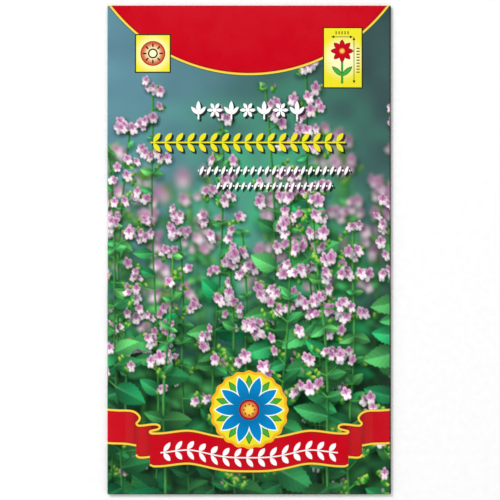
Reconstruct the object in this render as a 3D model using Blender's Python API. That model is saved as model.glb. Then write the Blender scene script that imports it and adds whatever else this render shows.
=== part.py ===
"""A sealed paper seed packet with its inner sachet of seeds, lying on its back with the printed front up.

Metres, +Z up. The packet's top points to +Y, and the origin is in the middle of its underside, on the table.
"""

import math
import random

import bmesh
import bpy
from mathutils import Vector

MM = 0.001

# The folded packet
WIDTH = 80 * MM
HEIGHT = 138 * MM
PAPER = 0.15 * MM
FOLD_RADIUS = 0.175 * MM  # of the middle of the paper
FOLD_STEPS = 6
BULGE = 1.5 * MM  # how far the front stands over its edges where the sachet fills the packet
BULGE_REACH_X = 20 * MM
BULGE_REACH_Y = 26 * MM
GRID_STEP = 6 * MM

# Flaps and cut edges, measured inwards from the folds
END_FLAP_DEPTH = 12 * MM
END_FLAP_TAPER = 3.5 * MM
SIDE_FLAP_DEPTH = 12 * MM
SIDE_FLAP_TAPER = 3 * MM
SIDE_FLAP_START = 17 * MM
SIDE_LIP_DEPTH = 2.5 * MM  # the narrow run of the side flap over the end flaps
BACK_EDGE_SETBACK = 3.2 * MM
CORNER_NOTCH = 0.35 * MM  # every fold stops this far from the corners
PANEL_SETBACK = 2.6 * MM  # the back panel and the side flap are cut back this far from the end folds
FLAP_SETTLE = 2 * MM  # an end flap comes down to the table over this length
BACK_STEP_START = 12.6 * MM  # the back panel comes down from the end flaps to the table
BACK_STEP_END = 16 * MM
BACK_SIDE_SETTLE = 3 * MM

# Lines of glue
GLUE = 0.10 * MM
GLUE_GAP = 0.10 * MM
GLUE_CORNER = 1.2 * MM
END_GLUE_START = 5 * MM
END_GLUE_DEPTH = 5.5 * MM
END_GLUE_LENGTH = 64 * MM
SIDE_GLUE_START = 4.2 * MM
SIDE_GLUE_DEPTH = 6 * MM
SIDE_GLUE_LENGTH = 98 * MM

# The inner sachet, with its mouth folded over
CLEARANCE = 0.3 * MM  # between the paper, the sachet and the seeds, and inside the folded mouth
FILM = 0.10 * MM
SACHET_WIDTH = 50 * MM
SACHET_MIDDLE_X = -5 * MM
SACHET_FOOT_Y = -46 * MM
SACHET_FOLD_Y = 20 * MM
SACHET_TURNOVER = 9 * MM
SACHET_SEAM = 3.5 * MM
SACHET_SLIT = 0.20 * MM  # the room between the films where no seeds lie
SEAM_SLIT = 0.04 * MM  # the room between the films right beside a seam
SLIT_OPENING = 5 * MM  # the slit widens over this distance from a seam
SACHET_COLUMNS = 10
SACHET_STEP = 4 * MM
SACHET_FOLD_STEPS = 6

# The seeds, in one layer near the foot of the sachet
SEED_LENGTH = 1.3 * MM
SEED_BREADTH = 1.0 * MM
SEED_THICKNESS = 0.7 * MM
SEED_BLUNTNESS = 0.18  # how much narrower one end of a seed is
SEED_SPACING = 0.84 * MM
SEED_JITTER = 0.03 * MM
SEED_LIFT = 0.02 * MM
SEED_SEGMENTS = 7
SEED_RINGS = 4
HEAP_HALF_LENGTH = 6 * MM
HEAP_HALF_DEPTH = 2.2 * MM
HEAP_SLOPE = 6 * MM  # the upper film comes down to the slit over this distance round the heap
HEAP_MIDDLE_Y = SACHET_FOOT_Y + SACHET_SEAM + HEAP_SLOPE + HEAP_HALF_DEPTH
RANDOM_SEED = 7

TOUCH = 0.001 * MM  # places closer than this are the same

# Levels of the middle of the paper over the table
TABLE_LEVEL = PAPER / 2
LAYER_PITCH = PAPER + GLUE + 2 * GLUE_GAP
SECOND_LEVEL = TABLE_LEVEL + LAYER_PITCH
FOLD_CENTRE = SECOND_LEVEL + FOLD_RADIUS
FRONT_EDGE_LEVEL = FOLD_CENTRE + FOLD_RADIUS

# The lines where the front panel ends and its folds begin
FRONT_X = WIDTH / 2 - FOLD_RADIUS - PAPER / 2
FRONT_Y = HEIGHT / 2 - FOLD_RADIUS - PAPER / 2

# Each finish is a name, a colour and a roughness
PRINTED_PAPER = ("printed_paper", (0.26, 0.41, 0.31), 0.35)
DRIED_GLUE = ("dried_glue", (0.86, 0.82, 0.68), 0.45)
GLASSINE = ("sachet_glassine", (0.88, 0.87, 0.80), 0.5)
SEED_COAT = ("seed_coat", (0.16, 0.09, 0.05), 0.6)


def clear_scene():
    """Removes every object that the file opened with."""
    for obj in list(bpy.data.objects):
        bpy.data.objects.remove(obj, do_unlink=True)


def material(finish):
    """The material of a finish, made once."""
    name, colour, roughness = finish
    found = bpy.data.materials.get(name)
    if found:
        return found
    made = bpy.data.materials.new(name)
    made.use_nodes = True
    shader = made.node_tree.nodes["Principled BSDF"]
    shader.inputs["Base Color"].default_value = (*colour, 1)
    shader.inputs["Roughness"].default_value = roughness
    shader.inputs["Metallic"].default_value = 0
    return made


def object_from(bm, name, finish):
    """Links a new object that holds the mesh, shaded smooth apart from its sharp edges."""
    mesh = bpy.data.meshes.new(name)
    bm.to_mesh(mesh)
    bm.free()
    mesh.shade_smooth()
    mesh.set_sharp_from_angle(angle=math.radians(40))
    mesh.materials.append(material(finish))
    obj = bpy.data.objects.new(name, mesh)
    bpy.context.collection.objects.link(obj)
    return obj


def ramp(value, start, end):
    """0 up to start, 1 from end on, and an even curve between them."""
    share = min(max((value - start) / (end - start), 0), 1)
    return share * share * (3 - 2 * share)


def rise(distance, reach):
    """How full the packet is at a distance from a fold: 0 on it, 1 from reach on."""
    share = min(max(distance / reach, 0), 1)
    return 1 - (1 - share) ** 2


def front_level(x, y):
    """Height of the front panel, which bulges over the sachet."""
    filled = rise(FRONT_X - abs(x), BULGE_REACH_X) * rise(FRONT_Y - abs(y), BULGE_REACH_Y)
    return FRONT_EDGE_LEVEL + BULGE * filled


def back_level(x, y):
    """Height of the back panel: on the table, but for its side fold and where it lies over the end flaps."""
    over_flaps = 1 - ramp(FRONT_Y - abs(y), BACK_STEP_START, BACK_STEP_END)
    by_fold = 1 - ramp(FRONT_X + x, 0, BACK_SIDE_SETTLE)
    return TABLE_LEVEL + LAYER_PITCH * max(over_flaps, by_fold)


def stations(marks, step):
    """The marks in order, with even stops between them no more than a step apart."""
    found = [marks[0]]
    for start, end in zip(marks, marks[1:]):
        count = max(1, math.ceil((end - start) / step - 1e-6))
        found += [start + (end - start) * i / count for i in range(1, count + 1)]
    return found


def both_ways(marks):
    """The marks, which start at 0, with their mirrored ones before them."""
    return [-mark for mark in reversed(marks)] + marks[1:]


def front_panel(bm):
    """Adds the front panel, with a row or a column wherever a fold or a flap ends."""
    columns = stations(both_ways([0, FRONT_X - BULGE_REACH_X / 2, FRONT_X - CORNER_NOTCH, FRONT_X]), GRID_STEP)
    rows = stations(both_ways([0, FRONT_Y - SIDE_FLAP_START, FRONT_Y - BACK_STEP_END, FRONT_Y - BACK_STEP_START,
                               FRONT_Y - PANEL_SETBACK, FRONT_Y - CORNER_NOTCH, FRONT_Y]), GRID_STEP)
    bmesh.ops.create_grid(bm, x_segments=len(columns) - 1, y_segments=len(rows) - 1, size=1)
    for v in bm.verts:
        column = round((v.co.x + 1) / 2 * (len(columns) - 1))
        row = round((v.co.y + 1) / 2 * (len(rows) - 1))
        v.co = (columns[column], rows[row], front_level(columns[column], rows[row]))


def cut_edges(bm, test):
    """The paper's cut edges whose two ends pass the test."""
    return [e for e in bm.edges if e.is_boundary and all(test(v.co) for v in e.verts)]


def within(edges, half_height):
    """The edges that lie no further than this from the middle of the packet, up and down."""
    return [e for e in edges if all(abs(v.co.y) < half_height + TOUCH for v in e.verts)]


def fold(bm, edges, across, sign):
    """Turns the paper under along a straight edge of the front, and returns the edges that it ends in."""
    centre = Vector(edges[0].verts[0].co)
    centre.z = FOLD_CENTRE
    turned = bmesh.ops.spin(bm, geom=edges, cent=centre, axis=across, angle=sign * math.pi, steps=FOLD_STEPS)
    return [g for g in turned["geom_last"] if isinstance(g, bmesh.types.BMEdge)]


def in_order(edges):
    """The vertices of a straight line of edges, from one end to the other."""
    return sorted({v for e in edges for v in e.verts}, key=lambda v: (round(v.co.x, 6), round(v.co.y, 6)))


def run_on(bm, edges, stops, place):
    """Extrudes a line of edges to each stop. place gives a vertex's new place from its first one and the stop."""
    starts = [v.co.copy() for v in in_order(edges)]
    for stop in stops:
        grown = bmesh.ops.extrude_edge_only(bm, edges=edges)["geom"]
        edges = [g for g in grown if isinstance(g, bmesh.types.BMEdge)]
        for v, start in zip(in_order(edges), starts):
            v.co = place(start, stop)
    return edges


def add_back(bm):
    """Folds the back panel under from the left side."""
    edges = cut_edges(bm, lambda co: co.x < TOUCH - FRONT_X and abs(co.y) < FRONT_Y - CORNER_NOTCH + TOUCH)
    edges = within(fold(bm, edges, (0, 1, 0), -1), FRONT_Y - PANEL_SETBACK)
    stops = stations([0, BACK_SIDE_SETTLE / 2, BACK_SIDE_SETTLE, 2 * FRONT_X - BACK_EDGE_SETBACK], GRID_STEP)

    def place(start, way):
        return (start.x + way, start.y, back_level(start.x + way, start.y))

    run_on(bm, edges, stops[1:], place)


def add_side_flap(bm):
    """Folds the seam flap under from the right side: a narrow lip all along, and wide between the end flaps."""
    edges = cut_edges(bm, lambda co: co.x > FRONT_X - TOUCH and abs(co.y) < FRONT_Y - CORNER_NOTCH + TOUCH)
    edges = within(fold(bm, edges, (0, 1, 0), 1), FRONT_Y - PANEL_SETBACK)
    half_height = FRONT_Y - SIDE_FLAP_START
    stops = stations([0, SIDE_FLAP_TAPER, SIDE_FLAP_DEPTH - SIDE_LIP_DEPTH], GRID_STEP)

    def lip_place(start, way):
        return (start.x - way, start.y, start.z)

    def flap_place(start, way):
        return (start.x - way, start.y * (1 - min(way, SIDE_FLAP_TAPER) / half_height), start.z)

    edges = run_on(bm, edges, [SIDE_LIP_DEPTH], lip_place)
    run_on(bm, within(edges, half_height), stops[1:], flap_place)


def add_end_flap(bm, end):
    """Folds an end flap under the back panel. end is 1 at the packet's top and -1 at its bottom."""
    edges = cut_edges(bm, lambda co: end * co.y > FRONT_Y - TOUCH and abs(co.x) < FRONT_X - CORNER_NOTCH + TOUCH)
    edges = fold(bm, edges, (1, 0, 0), -end)
    stops = stations([0, FLAP_SETTLE, END_FLAP_DEPTH], GRID_STEP)
    stops[1:1] = [FLAP_SETTLE / 3, FLAP_SETTLE * 2 / 3]

    def place(start, way):
        narrowing = 1 - way / END_FLAP_DEPTH * END_FLAP_TAPER / FRONT_X
        level = SECOND_LEVEL - LAYER_PITCH * ramp(way, 0, FLAP_SETTLE)
        return (start.x * narrowing, start.y - end * way, level)

    run_on(bm, edges, stops[1:], place)


def paper_envelope():
    """One die-cut sheet: front, back, seam flap and two end flaps, folded and thickened."""
    bm = bmesh.new()
    front_panel(bm)
    add_back(bm)
    add_side_flap(bm)
    add_end_flap(bm, 1)
    add_end_flap(bm, -1)
    bmesh.ops.recalc_face_normals(bm, faces=bm.faces)
    envelope = object_from(bm, "paper_envelope", PRINTED_PAPER)
    sheet = envelope.modifiers.new("paper_thickness", "SOLIDIFY")
    sheet.thickness = PAPER
    sheet.offset = 0
    sheet.use_even_offset = True


def glue_line(name, middle, size_x, size_y):
    """A flat line of glue with rounded corners, between two layers of paper."""
    bm = bmesh.new()
    bmesh.ops.create_cube(bm, size=1)
    for v in bm.verts:
        v.co = (v.co.x * size_x, v.co.y * size_y, v.co.z * GLUE)
    upright = [e for e in bm.edges if abs(e.verts[0].co.z - e.verts[1].co.z) > TOUCH]
    bmesh.ops.bevel(bm, geom=upright, offset=GLUE_CORNER, segments=3, profile=0.5, affect="EDGES")
    line = object_from(bm, name, DRIED_GLUE)
    line.location = (*middle, PAPER + GLUE_GAP + GLUE / 2)


def glue_lines():
    """The three lines of glue that hold the folded sheet together."""
    side_x = FRONT_X - SIDE_GLUE_START - SIDE_GLUE_DEPTH / 2
    end_y = FRONT_Y - END_GLUE_START - END_GLUE_DEPTH / 2
    glue_line("side_seam_glue", (side_x, 0), SIDE_GLUE_DEPTH, SIDE_GLUE_LENGTH)
    glue_line("top_flap_glue", (0, end_y), END_GLUE_LENGTH, END_GLUE_DEPTH)
    glue_line("bottom_flap_glue", (0, -end_y), END_GLUE_LENGTH, END_GLUE_DEPTH)


def heap_lift(x, y):
    """How far the seeds lift the upper film at a place."""
    past_x = max(abs(x - SACHET_MIDDLE_X) - HEAP_HALF_LENGTH, 0)
    past_y = max(abs(y - HEAP_MIDDLE_Y) - HEAP_HALF_DEPTH, 0)
    full = 2 * CLEARANCE + SEED_THICKNESS - SACHET_SLIT
    return full * (1 - ramp(math.hypot(past_x, past_y), SEED_LENGTH, HEAP_SLOPE))


def films_apart(x, y, turned):
    """The room between the two films. turned is true in the mouth, which is folded over."""
    from_seam = SACHET_WIDTH / 2 - SACHET_SEAM - abs(x - SACHET_MIDDLE_X)
    if not turned:
        from_seam = min(from_seam, y - SACHET_FOOT_Y - SACHET_SEAM)
    room = SEAM_SLIT + (SACHET_SLIT - SEAM_SLIT) * ramp(from_seam, 0, SLIT_OPENING)
    return room if turned else room + heap_lift(x, y)


def sachet_path():
    """The way of the lower film's inner face, from the sachet's foot and round the folded mouth, as (y, z, turn).
    turn is how far the film has folded over there, in radians."""
    level = PAPER + CLEARANCE + FILM
    radius = CLEARANCE / 2 + FILM + SACHET_SLIT
    bend_y = SACHET_FOLD_Y - radius - FILM
    heap_reach = HEAP_HALF_DEPTH + SEED_LENGTH
    flat = stations([SACHET_FOOT_Y, SACHET_FOOT_Y + SACHET_SEAM, HEAP_MIDDLE_Y - heap_reach,
                     HEAP_MIDDLE_Y + heap_reach, bend_y], SACHET_STEP)
    path = [(y, level, 0) for y in flat]
    for i in range(1, SACHET_FOLD_STEPS + 1):
        turn = math.pi * i / SACHET_FOLD_STEPS
        path.append((bend_y + radius * math.sin(turn), level + radius * (1 - math.cos(turn)), turn))
    turnover = stations([0, SACHET_TURNOVER], SACHET_STEP)
    path += [(bend_y - way, level + 2 * radius, math.pi) for way in turnover[1:]]
    return path


def sachet_ring(bm, station, half_width, skin):
    """A closed ring round the sachet at a station: along its upper film, and back along its lower one. skin is the
    film's thickness for a ring round the outside, and 0 for a ring round the inside."""
    y, z, turn = station
    up = Vector((0, -math.sin(turn), math.cos(turn)))
    inner_half = SACHET_WIDTH / 2 - SACHET_SEAM
    between = [inner_half * (2 * i / SACHET_COLUMNS - 1) for i in range(1, SACHET_COLUMNS)]
    columns = [SACHET_MIDDLE_X + x for x in (-half_width, *between, half_width)]
    lower = [Vector((x, y, z)) - up * skin for x in columns]
    upper = [Vector((x, y, z)) + up * (films_apart(x, y, turn > 0) + skin) for x in columns]
    return [bm.verts.new(place) for place in upper + lower[::-1]]


def bridge(bm, rings):
    """Joins each ring to the next with quads."""
    for one, two in zip(rings, rings[1:]):
        for i in range(len(one)):
            j = (i + 1) % len(one)
            bm.faces.new((one[i], one[j], two[j], two[i]))


def close(bm, ring):
    """Fills a ring with quads between its upper and its lower film."""
    for i in range(len(ring) // 2 - 1):
        bm.faces.new((ring[i], ring[i + 1], ring[-i - 2], ring[-i - 1]))


def inner_sachet():
    """A sachet of two films, sealed down both sides and across the foot, with its open mouth turned over."""
    bm = bmesh.new()
    path = sachet_path()
    outside = [sachet_ring(bm, station, SACHET_WIDTH / 2, FILM) for station in path]
    inside = [sachet_ring(bm, station, SACHET_WIDTH / 2 - SACHET_SEAM, 0) for station in path[1:]]
    bridge(bm, outside)
    bridge(bm, inside)
    close(bm, outside[0])
    close(bm, inside[0])
    bridge(bm, [outside[-1], inside[-1]])
    bmesh.ops.recalc_face_normals(bm, faces=bm.faces)
    object_from(bm, "inner_sachet", GLASSINE)


def seed_at(number, x, y, z, turn):
    """One seed, a flattened ball with a narrower end, lying on its flat side."""
    bm = bmesh.new()
    bmesh.ops.create_uvsphere(bm, u_segments=SEED_SEGMENTS, v_segments=SEED_RINGS, radius=0.5)
    for v in bm.verts:
        v.co = (v.co.x * SEED_LENGTH, v.co.y * SEED_BREADTH * (1 - SEED_BLUNTNESS * v.co.x), v.co.z * SEED_THICKNESS)
    seed = object_from(bm, f"seed_{number}", SEED_COAT)
    seed.location = (x, y, z)
    seed.rotation_euler = (0, 0, turn)
    return seed


def scattered_seeds():
    """The seeds one by one, in a close layer on a staggered grid, so that each touches its neighbours."""
    draw = random.Random(RANDOM_SEED)
    level = PAPER + 2 * CLEARANCE + FILM + SEED_THICKNESS / 2 + SEED_LIFT
    row_pitch = SEED_SPACING * math.sqrt(3) / 2
    rows = int(HEAP_HALF_DEPTH / row_pitch)
    columns = int(HEAP_HALF_LENGTH / SEED_SPACING)
    made = []
    for row in range(-rows, rows + 1):
        for column in range(-columns, columns + 1):
            x = (column + 0.5 * (row % 2)) * SEED_SPACING
            y = row * row_pitch
            if math.hypot(x / HEAP_HALF_LENGTH, y / HEAP_HALF_DEPTH) > 1:
                continue
            x += SACHET_MIDDLE_X + draw.uniform(-SEED_JITTER, SEED_JITTER)
            y += HEAP_MIDDLE_Y + draw.uniform(-SEED_JITTER, SEED_JITTER)
            z = level + draw.uniform(-SEED_LIFT, SEED_LIFT)
            made.append(seed_at(len(made), x, y, z, draw.uniform(0, math.tau)))
    return made


def seeds():
    """The layer of seeds, joined into one solid where they touch."""
    heap, *others = scattered_seeds()
    group = bpy.data.collections.new("other_seeds")
    for seed in others:
        group.objects.link(seed)
    join = heap.modifiers.new("join_seeds", "BOOLEAN")
    join.operation = "UNION"
    join.operand_type = "COLLECTION"
    join.collection = group
    join.solver = "MANIFOLD"
    bpy.context.view_layer.objects.active = heap
    bpy.ops.object.modifier_apply(modifier=join.name)
    for seed in others:
        bpy.data.objects.remove(seed, do_unlink=True)
    bpy.data.collections.remove(group)
    heap.name = "seeds"


def main():
    """Builds the whole packet."""
    clear_scene()
    paper_envelope()
    glue_lines()
    inner_sachet()
    seeds()


main()
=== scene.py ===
"""The looks of a sealed paper seed packet: its print and paper, its glue, and the sachet of seeds inside.

The packet lies on its back with its printed front up and its top towards +Y. Meshes are in metres, in the
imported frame. Print is laid out in millimetres from the middle of the front.
"""

import logging
import math
import random
from collections.abc import Callable
from dataclasses import dataclass, field
from enum import Enum
from functools import partial, reduce
from typing import ClassVar

import bmesh
import bpy
import numpy as np
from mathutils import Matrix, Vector

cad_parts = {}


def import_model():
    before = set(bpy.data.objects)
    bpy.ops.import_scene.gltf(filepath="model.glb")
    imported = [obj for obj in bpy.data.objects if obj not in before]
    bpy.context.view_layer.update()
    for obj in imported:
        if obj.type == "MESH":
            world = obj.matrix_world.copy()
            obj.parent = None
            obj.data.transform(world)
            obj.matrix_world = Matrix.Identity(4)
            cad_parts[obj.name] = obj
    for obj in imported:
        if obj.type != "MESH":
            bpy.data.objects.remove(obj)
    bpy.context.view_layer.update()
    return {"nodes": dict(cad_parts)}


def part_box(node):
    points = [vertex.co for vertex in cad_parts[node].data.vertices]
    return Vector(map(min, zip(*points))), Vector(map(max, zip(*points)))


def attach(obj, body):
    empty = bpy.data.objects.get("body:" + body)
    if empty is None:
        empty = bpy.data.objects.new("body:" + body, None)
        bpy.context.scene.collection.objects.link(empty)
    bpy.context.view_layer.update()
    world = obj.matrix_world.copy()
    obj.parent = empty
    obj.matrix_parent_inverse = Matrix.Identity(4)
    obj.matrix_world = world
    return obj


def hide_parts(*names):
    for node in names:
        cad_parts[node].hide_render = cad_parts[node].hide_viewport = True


LOG = logging.getLogger("seed_packet")

MM = 0.001
TOUCH = 0.002 * MM  # places closer than this are the same

Array = np.ndarray
Number = "Wire | float"
Spot = tuple[float, float]
Part = tuple[slice, slice]


def linear(red: float, green: float, blue: float) -> Array:
    """An ink's linear colour from its display values, 0 to 255."""
    value = np.array([red, green, blue], dtype=np.float32) / 255
    return np.where(value <= 0.04045, value / 12.92, ((value + 0.055) / 1.055) ** 2.4).astype(np.float32)


def smooth(low: float, high: float, value: Array | float) -> Array:
    """0 at low, 1 at high, and an even curve between."""
    share = np.clip((value - low) / (high - low), 0, 1)
    return share * share * (3 - 2 * share)


def blend(one: Array, two: Array, share: Array | float) -> Array:
    """Between two inks, by a share or by an array of shares."""
    share = np.asarray(share, dtype=np.float32)[..., None]
    return one + (two - one) * share


def turned(dx: Array, dy: Array, angle: float) -> tuple[Array, Array]:
    """Distances along x and y as distances along axes that are turned by an angle in radians."""
    cos, sin = math.cos(angle), math.sin(angle)
    return dx * cos + dy * sin, dy * cos - dx * sin


class Canvas:
    """A fine grid of ink in memory, in millimetres from the middle of the front."""

    GLOOM: ClassVar[Array] = linear(70, 118, 108)

    def __init__(self, width: float, height: float, pitch: float, seed: int) -> None:
        """Makes a blank canvas.

        Args:
            width: across the print, in mm.
            height: up the print, in mm.
            pitch: between neighbouring points of ink, in mm.
            seed: for the cloudy grounds.
        """
        self.pitch = pitch
        self.blur = pitch  # how soft the edges of what is painted are, in mm
        self.columns = round(width / pitch)
        self.rows = round(height / pitch)
        self.x = ((np.arange(self.columns) + 0.5) * pitch - width / 2).astype(np.float32)
        self.y = ((np.arange(self.rows) + 0.5) * pitch - height / 2).astype(np.float32)
        self.ink = np.zeros((self.rows, self.columns, 3), dtype=np.float32)
        self.draw = np.random.default_rng(seed)

    def patch(self, x: float, y: float, reach: float) -> tuple[Part, Array, Array]:
        """The part of the canvas round a place.

        Args:
            x: the place, in mm.
            y: the place, in mm.
            reach: how far the part goes from it, in mm.

        Returns:
            The part's rows and columns, and the distances of its points from the place along x and along y.
        """
        left, right = np.searchsorted(self.x, (x - reach, x + reach))
        low, high = np.searchsorted(self.y, (y - reach, y + reach))
        part = (slice(low, high), slice(left, right))
        return part, self.x[None, left:right] - x, self.y[low:high, None] - y

    def lay(self, part: Part, ink: Array, cover: Array) -> None:
        """Prints ink over a part of the canvas, as far as cover says at each point."""
        under = self.ink[part]
        under += (ink - under) * cover[..., None]

    def dim(self, part: Part, cover: Array) -> None:
        """Darkens a part of the canvas, as far as cover says at each point."""
        self.ink[part] *= 1 - cover[..., None] * (1 - self.GLOOM)

    def soften(self, reach: float) -> None:
        """Blurs all that is printed so far, as a lens does with what lies behind.

        Args:
            reach: of the blur, in mm.
        """
        half = max(1, round(reach / self.pitch / 2))
        span = 2 * half + 1
        for axis in (0, 1, 0, 1, 0, 1):
            pad = [(0, 0)] * 3
            pad[axis] = (half + 1, half)
            total = np.cumsum(np.pad(self.ink, pad, mode="edge"), axis=axis, dtype=np.float64)
            size = self.ink.shape[axis]
            ahead = np.take(total, range(span, span + size), axis=axis)
            behind = np.take(total, range(size), axis=axis)
            self.ink = ((ahead - behind) / span).astype(np.float32)

    def cloud(self, grain: float) -> Array:
        """Smooth noise over the whole canvas.

        Args:
            grain: the size of its lumps, in mm.

        Returns:
            The noise, from 0 to 1.
        """
        lattice = self.draw.random(tuple(int(n * self.pitch / grain) + 3 for n in (self.rows, self.columns)))
        v, u = (self.y - self.y[0]) / grain, (self.x - self.x[0]) / grain
        row, column = v.astype(int)[:, None], u.astype(int)[None, :]
        up, along = smooth(0, 1, v % 1)[:, None], smooth(0, 1, u % 1)[None, :]
        low = lattice[row, column] * (1 - along) + lattice[row, column + 1] * along
        high = lattice[row + 1, column] * (1 - along) + lattice[row + 1, column + 1] * along
        return low * (1 - up) + high * up

    def at(self, x: Array, y: Array) -> Array:
        """The ink at places, between its four nearest points.

        Args:
            x: the places, in mm.
            y: the places, in mm.

        Returns:
            The inks.
        """
        u = np.clip((x - self.x[0]) / self.pitch, 0, self.columns - 1.001)
        v = np.clip((y - self.y[0]) / self.pitch, 0, self.rows - 1.001)
        column, row = u.astype(int), v.astype(int)
        along, up = u - column, v - row
        low = blend(self.ink[row, column], self.ink[row, column + 1], along)
        high = blend(self.ink[row + 1, column], self.ink[row + 1, column + 1], along)
        return blend(low, high, up)


@dataclass
class Blossom:
    """A small open flower with five petals, the upper ones darker. Its sizes are in mm."""

    canvas: Canvas
    x: float
    y: float
    size: float
    turn: float
    squash: float
    lilac: float
    light: float

    PALE: ClassVar[Array] = linear(255, 240, 247)
    LILAC: ClassVar[Array] = linear(192, 132, 174)
    THROAT: ClassVar[Array] = linear(150, 56, 128)
    FRECKLE: ClassVar[Array] = linear(190, 96, 158)

    def cast(self) -> None:
        """Darkens what lies behind the blossom."""
        part, dx, dy = self.canvas.patch(self.x + 0.3, self.y - 0.6, self.size * 1.5)
        self.canvas.dim(part, 0.6 * (1 - smooth(0.4, 1.4, np.hypot(dx, dy) / self.size)))

    def paint(self) -> None:
        """Paints the petals, the freckles and the throat."""
        part, dx, dy = self.canvas.patch(self.x, self.y, self.size * 1.3)
        across, up = turned(dx, dy, self.turn)
        u, v = across / self.size / self.squash, up / self.size
        reach, angle = np.hypot(u, v), np.arctan2(u, v)
        lobes = np.abs(np.cos(2.5 * angle)) ** 0.6
        petal = reach / (0.5 + 0.5 * lobes * (1 + 0.12 * np.cos(angle)))
        edge = self.canvas.blur / self.size
        upper = smooth(0.5 - 0.9 * self.lilac, 0.76 - 0.7 * self.lilac, v + 0.25)
        ink = blend(self.PALE, self.LILAC, upper * (1 - 0.5 * smooth(0.65, 1.0, petal)))
        freckles = smooth(0.45, 0.9, np.sin(u * 13) * np.sin(v * 11 + 1)) * (reach < 0.62)
        ink = blend(ink, self.FRECKLE, 0.5 * freckles)
        ink = blend(ink, self.THROAT, 0.8 * (1 - smooth(0.05, 0.34, np.hypot(u * 1.1, v - 0.05))))
        ink = blend(ink, self.THROAT, 0.75 * upper * (1 - smooth(0.12, 0.42, np.hypot(u * 1.1, v - 0.46))))
        crease = (1 - smooth(0.05, 0.42, lobes)) * smooth(0.22, 0.7, reach)
        lit = 0.88 + 0.26 * smooth(-1.0, 0.8, (dy - 0.8 * dx) / self.size)
        lit = lit * (1 - 0.34 * crease) * (1 - 0.18 * smooth(0.72, 1.0, petal)) * self.light
        self.canvas.lay(part, ink * lit[..., None], 1 - smooth(1 - edge, 1 + edge, petal))


@dataclass
class Leaf:
    """An oval leaf with a point, a rib and a scalloped edge. Its sizes are in mm."""

    canvas: Canvas
    x: float
    y: float
    length: float
    width: float
    turn: float
    light: float
    yellow: float

    DARK: ClassVar[Array] = linear(2, 46, 30)
    GREEN: ClassVar[Array] = linear(20, 170, 104)
    FRESH: ClassVar[Array] = linear(132, 212, 100)
    RIB: ClassVar[Array] = linear(96, 200, 126)

    @property
    def middle(self) -> Spot:
        """The leaf's middle."""
        half = self.length / 2
        return self.x + math.cos(self.turn) * half, self.y + math.sin(self.turn) * half

    def cast(self) -> None:
        """Darkens what lies behind the leaf."""
        x, y = self.middle
        part, dx, dy = self.canvas.patch(x, y - 0.8, self.length * 0.8)
        along, across = turned(dx, dy, self.turn)
        reach = np.hypot(along * 1.6, across * 2.2) / self.length
        self.canvas.dim(part, 0.5 * (1 - smooth(0.5, 1.5, reach)))

    def paint(self) -> None:
        """Paints the leaf, lit on one half."""
        part, dx, dy = self.canvas.patch(*self.middle, self.length * 0.62)
        along, across = turned(dx, dy, self.turn)
        along, across = along / self.length + 0.5, across / self.width
        from_rib = np.abs(across)
        inside = np.clip(along, 0, 1)
        outline = np.maximum(np.sin(math.pi * inside**0.7), 0) ** 0.8 * (0.5 + 0.028 * np.sin(inside * 46))
        edge = self.canvas.blur / self.width
        cover = (1 - smooth(-edge, edge, from_rib - outline)) * (along > 0) * (along < 1)
        swell = 0.55 + 0.55 * smooth(0.0, 0.8, along) - 0.35 * from_rib
        lit = np.where(across > 0, 1.0, 0.58) * swell * (1 + 0.05 * np.sin((along - from_rib * 0.7) * 34))
        ink = blend(self.DARK, blend(self.GREEN, self.FRESH, self.yellow), np.clip(lit, 0, 1))
        ink = ink * (self.light * (0.8 + 0.35 * lit))[..., None]
        rib = (1 - smooth(0.015, 0.07, from_rib)) * (1 - along) * 0.45
        self.canvas.lay(part, blend(ink, self.RIB * self.light, rib), cover)


@dataclass
class Cup:
    """A small green flower cup, or a bud with a lilac tip. Its sizes are in mm."""

    canvas: Canvas
    x: float
    y: float
    size: float
    turn: float
    light: float
    bud: float

    GREEN: ClassVar[Array] = linear(30, 138, 50)
    LIT: ClassVar[Array] = linear(190, 222, 90)
    BUD: ClassVar[Array] = linear(184, 104, 168)

    def paint(self) -> None:
        """Paints the cup, lighter at its tip."""
        part, dx, dy = self.canvas.patch(self.x, self.y, self.size * 1.5)
        along, across = turned(dx, dy, self.turn)
        u = along / self.size
        v = across / self.size * (1.7 + 0.5 * u)
        reach = np.hypot(u, v)
        edge = self.canvas.blur / self.size
        ink = blend(self.GREEN, blend(self.LIT, self.BUD, self.bud), smooth(-0.4, 0.9, u + 0.4 * v))
        lit = self.light * (1.1 - 0.4 * reach)
        self.canvas.lay(part, ink * lit[..., None], 1 - smooth(1 - edge, 1 + edge, reach))


@dataclass
class Stem:
    """A thin stem through a line of places. Its sizes are in mm."""

    canvas: Canvas
    places: list[Spot]
    width: float
    light: float

    GREEN: ClassVar[Array] = linear(14, 100, 50)
    LIT: ClassVar[Array] = linear(92, 172, 78)

    def paint(self) -> None:
        """Paints the stem stretch by stretch."""
        blur = self.canvas.blur
        for (x0, y0), (x1, y1) in zip(self.places, self.places[1:]):
            run = math.hypot(x1 - x0, y1 - y0)
            cos, sin = (x1 - x0) / run, (y1 - y0) / run
            part, dx, dy = self.canvas.patch((x0 + x1) / 2, (y0 + y1) / 2, run / 2 + self.width)
            across = dy * cos - dx * sin
            past_end = np.maximum(np.abs(dx * cos + dy * sin) - run / 2, 0)
            cover = 1 - smooth(self.width / 2 - blur / 2, self.width / 2 + blur, np.hypot(past_end, across))
            ink = blend(self.GREEN, self.LIT, smooth(-0.5, 0.5, across / self.width)) * self.light
            self.canvas.lay(part, ink, cover)


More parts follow.
